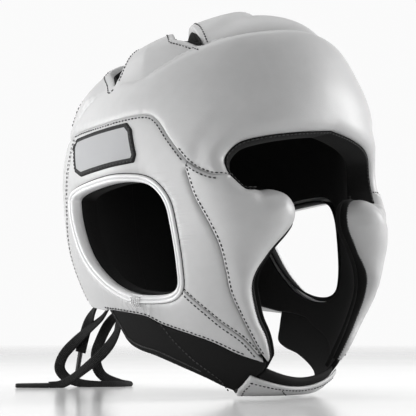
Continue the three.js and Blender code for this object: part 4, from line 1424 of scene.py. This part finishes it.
each_way = SLOT_ROW["each_way"]
along = np.roll(star_above, -each_way, axis=0) - np.roll(star_above, each_way, axis=0)
across = unit(np.column_stack([along[:, 1], -along[:, 0]])) * SLOT_ROW["from_edge"]
if inside(star_above + across, star_above).mean() > 0.5:
    across = -across
slot_row = star_above + across
away = nearest(slot_row, joined_up(star_above))[0]
kept = (away > SLOT_ROW["clear"]) & ~inside(slot_row, star_above)
slot_points = on_crown(found_from_above(slot_row))
steps = np.linalg.norm(np.roll(slot_points, -1, axis=0) - slot_points, axis=1)
breaks = np.flatnonzero(~kept | (steps > SLOT_ROW["longest_step"]))
stitch_lines += [slot_points[start + 1:end] for start, end in zip(breaks[:-1], breaks[1:])
                 if end - start > SLOT_ROW["fewest_points"]]

patch_inner = shifted(joined_up(patch_rows), PATCH_ROW["from_edge"], patch_line.mean(0))
under = side_depth(patch_inner, "ear_panel")
stitch_lines.append(skin(*patch_inner.T, under - PATCH_THICK - PATCH_ROW["lift"]))
at, across, normal = frame_along(*binding_rows.T, BROW_MIDDLE, False)
stitch_lines.append(at + across * BINDING_ROW["across"] - normal * (BROW_LEATHER + BINDING_ROW["deeper"]))
edge_lines = both_sides([skin(*cheek_rim.T, cheek_deep - CHEEK_ROW)])
for start, end in TAB_ROWS:
    u, v = np.linspace(start, end, TAB_POINTS).T
    stitch_lines.append(skin(*chin_place(CHIN_TAB, u, v), np.full(TAB_POINTS, CHIN_TAB["outer"] - TAB_LIFT)))
rail = np.linspace(TACK["from"], TACK["to"], TACK["points"])[:, None]
lift = TACK["lift"] + TACK["bow"] * np.cos(rail * TACK["wave"])
tack_lines = []
for step in TACK["bars"]:
    at, inward, outward = (way[tack + step] for way in (ear_at, ear_across, ear_normal))
    tack_lines.append(at + inward * rail + outward * lift)
tack_lines = both_sides(tack_lines)
print("all stitch rows:", len(stitch_lines), "and bar tacks:", len(tack_lines))

# %% [markdown]
# Finishes are small shader graphs. To write them as sums, a class wraps one socket: adding or
# multiplying two of them makes the node that does it, and one method makes any other node.

# %% Shader sums
class Socket:
    """An output socket of a shader tree that can stand in sums."""

    def __init__(self, tree, output=None):
        self.tree, self.output = tree, output

    def node(self, kind, settings=(), sockets=(), output=0):
        made = self.tree.nodes.new(kind)
        for name, value in dict(settings).items():
            setattr(made, name, value)
        for name, value in dict(sockets).items():
            if isinstance(value, Socket):
                self.tree.links.new(value.output, made.inputs[name])
            else:
                made.inputs[name].default_value = value
        return Socket(self.tree, made.outputs[output] if made.outputs else None)

    def maths(self, operation, first, second=0.0):
        return self.node("ShaderNodeMath", {"operation": operation}, {0: first, 1: second})

    def __add__(self, other):
        return self.maths("ADD", self, other)

    def __sub__(self, other):
        return self.maths("SUBTRACT", self, other)

    def __rsub__(self, other):
        return self.maths("SUBTRACT", other, self)

    def __mul__(self, other):
        return self.maths("MULTIPLY", self, other)

    def __truediv__(self, other):
        return self.maths("DIVIDE", self, other)

    def __lt__(self, other):
        return self.maths("LESS_THAN", self, other)

    __radd__ = __add__
    __rmul__ = __mul__

    def sine(self):
        return self.maths("SINE", self)

    def grey(self, tint=(1.0, 1.0, 1.0)):
        """A colour from a tone and a slight tint."""
        return self.node("ShaderNodeCombineColor", (),
                         {"Red": self * tint[0], "Green": self * tint[1], "Blue": self * tint[2]})


print("sockets can stand in sums now")

# %% [markdown]
# A finish is a function that returns the inputs of one surface. The nodes that most finishes share
# have short names of their own.

# %% Finish helpers
def surface(name, build):
    """A material from a function that takes a first socket and returns the inputs of its surface."""
    material = bpy.data.materials.new(name)
    material.use_nodes = True
    material.node_tree.nodes.clear()
    begin = Socket(material.node_tree)
    shader = begin.node("ShaderNodeBsdfPrincipled", (), build(begin))
    begin.node("ShaderNodeOutputMaterial", (), {"Surface": shader})
    return material


def object_place(begin):
    return begin.node("ShaderNodeTexCoord", (), (), "Object")


def noise(place, scale, detail):
    return place.node("ShaderNodeTexNoise", (), {"Vector": place, "Scale": scale, "Detail": detail})


def bump(height, strength, distance):
    settings = {"Strength": strength, "Distance": distance, "Height": height}
    return height.node("ShaderNodeBump", (), settings, "Normal")


def axes(vector):
    """The three numbers of a vector."""
    split = vector.node("ShaderNodeSeparateXYZ", (), {"Vector": vector})
    return [Socket(split.tree, output) for output in split.output.node.outputs]


FINISHES = {}

# %% [markdown]
# The leather is a smooth coated hide: satin, with a fine grain that only shows as a soft break in
# the highlight. The piping has the same coat, glossier and white. The grain is small cells
# with a slow unevenness over them. In front of the ear and under it the hide is creased: the panels
# remember how much, and a noise drawn out in one direction makes the lines.

# %% Leather and piping
GRAIN = {"cells": 1500.0, "slow": 140.0, "dents": 45.0}
GRAIN_HEIGHT = {"cells": 0.4, "slow": 0.8, "dents": 5.0}
GRAIN_BUMP, GLOSS_SPREAD = 0.3, 0.12
CREASES = {"slanted_creases": {"turn": (0.7, 0.0, 0.0), "stretch": (60, 90, 620), "depth": 22.0},
           "upright_creases": {"turn": (0.0, 0.0, 0.0), "stretch": (350, 420, 60), "depth": 40.0}}
COOL = (1.0, 1.0, 1.005)


def coated(tone, spread, roughness, depth):
    """Coated leather, with its grain and creases as bump."""
    def build(begin):
        place = object_place(begin)
        cells = begin.node("ShaderNodeTexVoronoi", (), {"Vector": place, "Scale": GRAIN["cells"]}, "Distance")
        slow, dents = noise(place, GRAIN["slow"], 3.0), noise(place, GRAIN["dents"], 1.0)
        height = cells * GRAIN_HEIGHT["cells"] + slow * GRAIN_HEIGHT["slow"] + dents * GRAIN_HEIGHT["dents"]
        for name, crease in CREASES.items():
            worn = begin.node("ShaderNodeAttribute", {"attribute_name": name}, (), "Fac")
            drawn = begin.node("ShaderNodeMapping", (), {"Vector": place, "Rotation": crease["turn"],
                                                         "Scale": crease["stretch"]})
            height = height + worn * noise(drawn, 1.0, 2.0) * crease["depth"]
        return {"Base Color": (tone + (slow - 0.5) * spread).grey(COOL),
                "Roughness": roughness + (slow - 0.5) * GLOSS_SPREAD,
                "Normal": bump(height, GRAIN_BUMP, depth)}
    return build


FINISHES["leather"] = surface("leather", coated(0.37, 0.04, 0.40, 0.00025))
FINISHES["white_piping"] = surface("white_piping", coated(0.62, 0.02, 0.36, 0.0001))
print("leathers:", sorted(FINISHES))

# %% [markdown]
# The lining is a brushed suede cloth, the neck panel a knit with a rubbery face, and both are
# black. Brushed fibres catch light at the edges, which a little sheen gives.

# %% Cloths
CLOTH_BUMP = (0.5, 0.0003)
CLOTH_SHINE = {"Sheen Roughness": 0.5, "Specular IOR Level": 0.1}


def cloth(tone, roughness, sheen, size):
    """Black cloth with a fuzz of the given fineness."""
    def build(begin):
        fuzz = noise(object_place(begin), size, 4.0)
        return {"Base Color": (tone * (0.5 + fuzz)).grey(), "Roughness": roughness,
                "Normal": bump(fuzz, *CLOTH_BUMP), "Sheen Weight": sheen} | CLOTH_SHINE
    return build


FINISHES["lining_cloth"] = surface("lining_cloth", cloth(0.005, 0.9, 0.02, 900.0))
FINISHES["stretch_cloth"] = surface("stretch_cloth", cloth(0.006, 0.75, 0.0, 1600.0))
print("leathers and cloths:", sorted(FINISHES))

# %% [markdown]
# The patch is woven: fine ribs run across a pale silver field, and a dark border of thicker
# thread runs round it. The distance from the edge, kept on the mesh, tells the two apart. The lace
# is a flat braid, whose strands cross in slanting steps along it. Tips and threads are plain.

# %% Weave, braid, tips and thread
WEAVE = {"ribs": 5200.0, "tone": 0.34, "spread": 0.08, "border": 3.2, "darker": 0.96, "bump": (0.5, 0.0002)}
BRAID = {"strands": 2.4, "tone": 0.006, "spread": 0.005, "bump": (0.8, 0.0004)}
SILVER = (1.0, 1.01, 1.03)


def woven(begin):
    """The patch: a pale field of fine ribs inside a dark border."""
    edge = begin.node("ShaderNodeAttribute", {"attribute_name": "edge_mm"}, (), "Fac")
    _, length, height = axes(object_place(begin))
    weave = (height * WEAVE["ribs"]).sine() * (length * WEAVE["ribs"]).sine()
    tone = (WEAVE["tone"] + weave * WEAVE["spread"]) * (1.0 - (edge < WEAVE["border"]) * WEAVE["darker"])
    return {"Base Color": tone.grey(SILVER), "Roughness": 0.62, "Normal": bump(weave, *WEAVE["bump"]),
            "Specular IOR Level": 0.15}


def braid(begin):
    """The lace: strands that cross along it, laid out by its own map of millimetres."""
    along, across, _ = axes(begin.node("ShaderNodeUVMap", {"uv_map": "weave"}))
    strands = ((along + across) * BRAID["strands"]).sine() * ((along - across) * BRAID["strands"]).sine()
    return {"Base Color": (BRAID["tone"] + strands * BRAID["spread"]).grey(), "Roughness": 0.7,
            "Normal": bump(strands, *BRAID["bump"]), "Specular IOR Level": 0.12}


def plain(tone, spread, roughness, size):
    """Plastic or thread, with a little cloud in its tone and gloss."""
    def build(begin):
        cloud = noise(object_place(begin), size, 3.0)
        return {"Base Color": (tone + (cloud - 0.5) * spread).grey(),
                "Roughness": roughness * (0.8 + 0.4 * cloud), "Specular IOR Level": 0.2}
    return build


FINISHES["woven_patch"] = surface("woven_patch", woven)
FINISHES["lace"] = surface("lace", braid)
FINISHES["lace_tip"] = surface("lace_tip", plain(0.012, 0.01, 0.32, 600.0))
THREAD = surface("thread", plain(0.03, 0.03, 0.6, 800.0))
# A paler grey copy of the thread for the rows at the back: its lighter tone is partly painted light, for the
# lit back side.
GREY_THREAD_PAINTED_LIT = surface("grey_thread_painted_lit", plain(0.16, 0.05, 0.6, 800.0))
PALE_THREAD = surface("pale_thread", plain(0.62, 0.1, 0.5, 800.0))
for made in bpy.data.objects:
    if made.get("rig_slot") in FINISHES:
        made.data.materials.clear()
        made.data.materials.append(FINISHES[made["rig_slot"]])
print("finishes:", sorted(FINISHES))

# %% [markdown]
# Now the thread is known, the rows can be sewn. The group runs once on the guide lines, its result
# is kept as a plain mesh, and the guide is thrown away. Each set of rows has its own pitch, stitch
# length, thread width, seed and thread.

# %% Sew
def sew(name, lines, pitch, length, thread, seed, material):
    """Rows of stitches along lines, as one plain mesh."""
    edges, base = [], 0
    for line in lines:
        edges += [(base + i, base + i + 1) for i in range(len(line) - 1)]
        base += len(line)
    guide_mesh = bpy.data.meshes.new(f"{name}_guide")
    guide_mesh.from_pydata((np.vstack(lines) * MM).tolist(), edges, [])
    guide = bpy.data.objects.new(f"{name}_guide", guide_mesh)
    bpy.context.scene.collection.objects.link(guide)
    rule = guide.modifiers.new("stitches", "NODES")
    rule.node_group = STITCHES
    keys = {item.name: item.identifier for item in STITCHES.interface.items_tree if item.in_out == "INPUT"}
    sizes = {"Pitch": pitch * MM, "Length": length * MM, "Thread": thread * MM}
    for key, value in (sizes | {"Seed": seed, "Material": material}).items():
        rule[keys[key]] = value
    ready = guide.evaluated_get(bpy.context.evaluated_depsgraph_get())
    made = bpy.data.objects.new(name, bpy.data.meshes.new_from_object(ready))
    bpy.data.objects.remove(guide)
    bpy.context.scene.collection.objects.link(made)
    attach(made, "root")
    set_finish(made, "lace")
    return made


STITCH_PIECES = {
    "seam_stitches": (stitch_lines, 2.9, 2.1, 0.95, 3, THREAD),
    "edge_stitches": (edge_lines, 1.9, 1.2, 1.1, 5, THREAD),
    # The back rows use the paler thread copy, partly painted light for the lit side at the back.
    "back_stitches": (back_lines, 2.9, 2.0, 0.8, 4, GREY_THREAD_PAINTED_LIT),
    "bar_tacks": (tack_lines, 1.5, 1.9, 0.9, 7, PALE_THREAD),
}
for name, sewing in STITCH_PIECES.items():
    print(name, len(sew(name, *sewing).data.polygons), "faces")

# %% [markdown]
# The guard stands on a white glossy table that fades into a white background.

# %% Table
SUBJECT = Vector((0, 0, -0.10))
TABLE = {"near": -2, "far": 9, "half_width": 5}
FADE = {"starts": 0.7, "over": 2.6}
GLOSS = {"tone": 0.91, "tone_spread": 0.04, "roughness": 0.13, "roughness_spread": 0.06}
ahead = Vector((CAMERA_FORWARD.x, CAMERA_FORWARD.y, 0)).normalized()
aside = ahead.cross(Vector((0, 0, 1)))

floor_mesh = bpy.data.meshes.new("table")
near, far, half_width = TABLE.values()
corners = [SUBJECT + ahead * depth + aside * across for depth, across in (
    (near, -half_width), (near, half_width), (far, half_width), (far, -half_width))]
floor_mesh.from_pydata([(c.x, c.y, TABLE_TOP * MM) for c in corners], [], [(0, 1, 2, 3)])
table = bpy.data.objects.new("table", floor_mesh)
bpy.context.scene.collection.objects.link(table)


def table_top(begin):
    """A white gloss that clears away with distance."""
    place = object_place(begin)
    away = begin.node("ShaderNodeVectorMath", {"operation": "LENGTH"}, {0: place}, "Value")
    haze = noise(place, 4.0, 2.0)
    fade = (away - FADE["starts"]) / FADE["over"]
    fade = fade.maths("MINIMUM", fade.maths("MAXIMUM", fade, 0.0), 1.0)
    return {"Base Color": (GLOSS["tone"] + haze * GLOSS["tone_spread"]).grey(),
            "Roughness": GLOSS["roughness"] + haze * GLOSS["roughness_spread"], "Alpha": 1.0 - fade}


floor_mesh.materials.append(surface("table_top", table_top))
print("table top at", TABLE_TOP, "mm")

# %% [markdown]
# Soft boxes light it from both sides, the left ones low and the right ones higher, and nothing
# stands in front. So the forehead in the middle is the darkest part of the leather, and its sides
# are bright. The white background is there for the eye and for reflections, and adds little light.

# %% Light
SIDE_BOX, TOP_BOX = (0.6, 0.9), (0.9, 0.9)
LIGHTS = {
    "left_side": ((-1.1, 0.0, -0.02), SIDE_BOX, 14.5),
    "left_front": ((-0.78, -0.78, -0.02), SIDE_BOX, 9.5),
    "left_back": ((-0.95, 0.55, 0.55), SIDE_BOX, 2.5),
    "right_side": ((1.1, 0.15, 0.30), SIDE_BOX, 14),
    "right_front": ((1.0, -0.46, 0.0), SIDE_BOX, 3.5),
    "top_box": ((0.0, 0.2, 1.1), TOP_BOX, 5),
}
SKY = {"seen": 0.96, "lighting": 0.12}


def softbox(name, where, size, watts):
    """A soft box turned to the guard, placed aside of it, behind it and above it as the camera sees."""
    light = bpy.data.lights.new(name, "AREA")
    light.shape = "RECTANGLE"
    light.size, light.size_y = size
    light.energy = watts
    lamp = bpy.data.objects.new(name, light)
    across, depth, height = where
    lamp.location = SUBJECT + aside * across + ahead * depth + Vector((0, 0, height))
    lamp.rotation_mode = "QUATERNION"
    lamp.rotation_quaternion = (SUBJECT - lamp.location).to_track_quat("-Z", "Y")
    bpy.context.scene.collection.objects.link(lamp)


for name, light in LIGHTS.items():
    softbox(name, *light)

world = bpy.data.worlds.new("studio")
bpy.context.scene.world = world
world.use_nodes = True
world.node_tree.nodes.clear()
begin = Socket(world.node_tree)
seen, lit = (begin.node("ShaderNodeBackground", (), {"Color": (1, 1, 1, 1), "Strength": SKY[use]})
             for use in ("seen", "lighting"))
looked_at = begin.node("ShaderNodeLightPath", (), (), "Is Camera Ray")
mirrored_ray = begin.node("ShaderNodeLightPath", (), (), "Is Glossy Ray")
either = looked_at.maths("MAXIMUM", looked_at, mirrored_ray)
mixed = begin.node("ShaderNodeMixShader", (), {"Fac": either, 1: lit, 2: seen})
begin.node("ShaderNodeOutputWorld", (), {"Surface": mixed})
bpy.context.scene.view_settings.view_transform = "Standard"
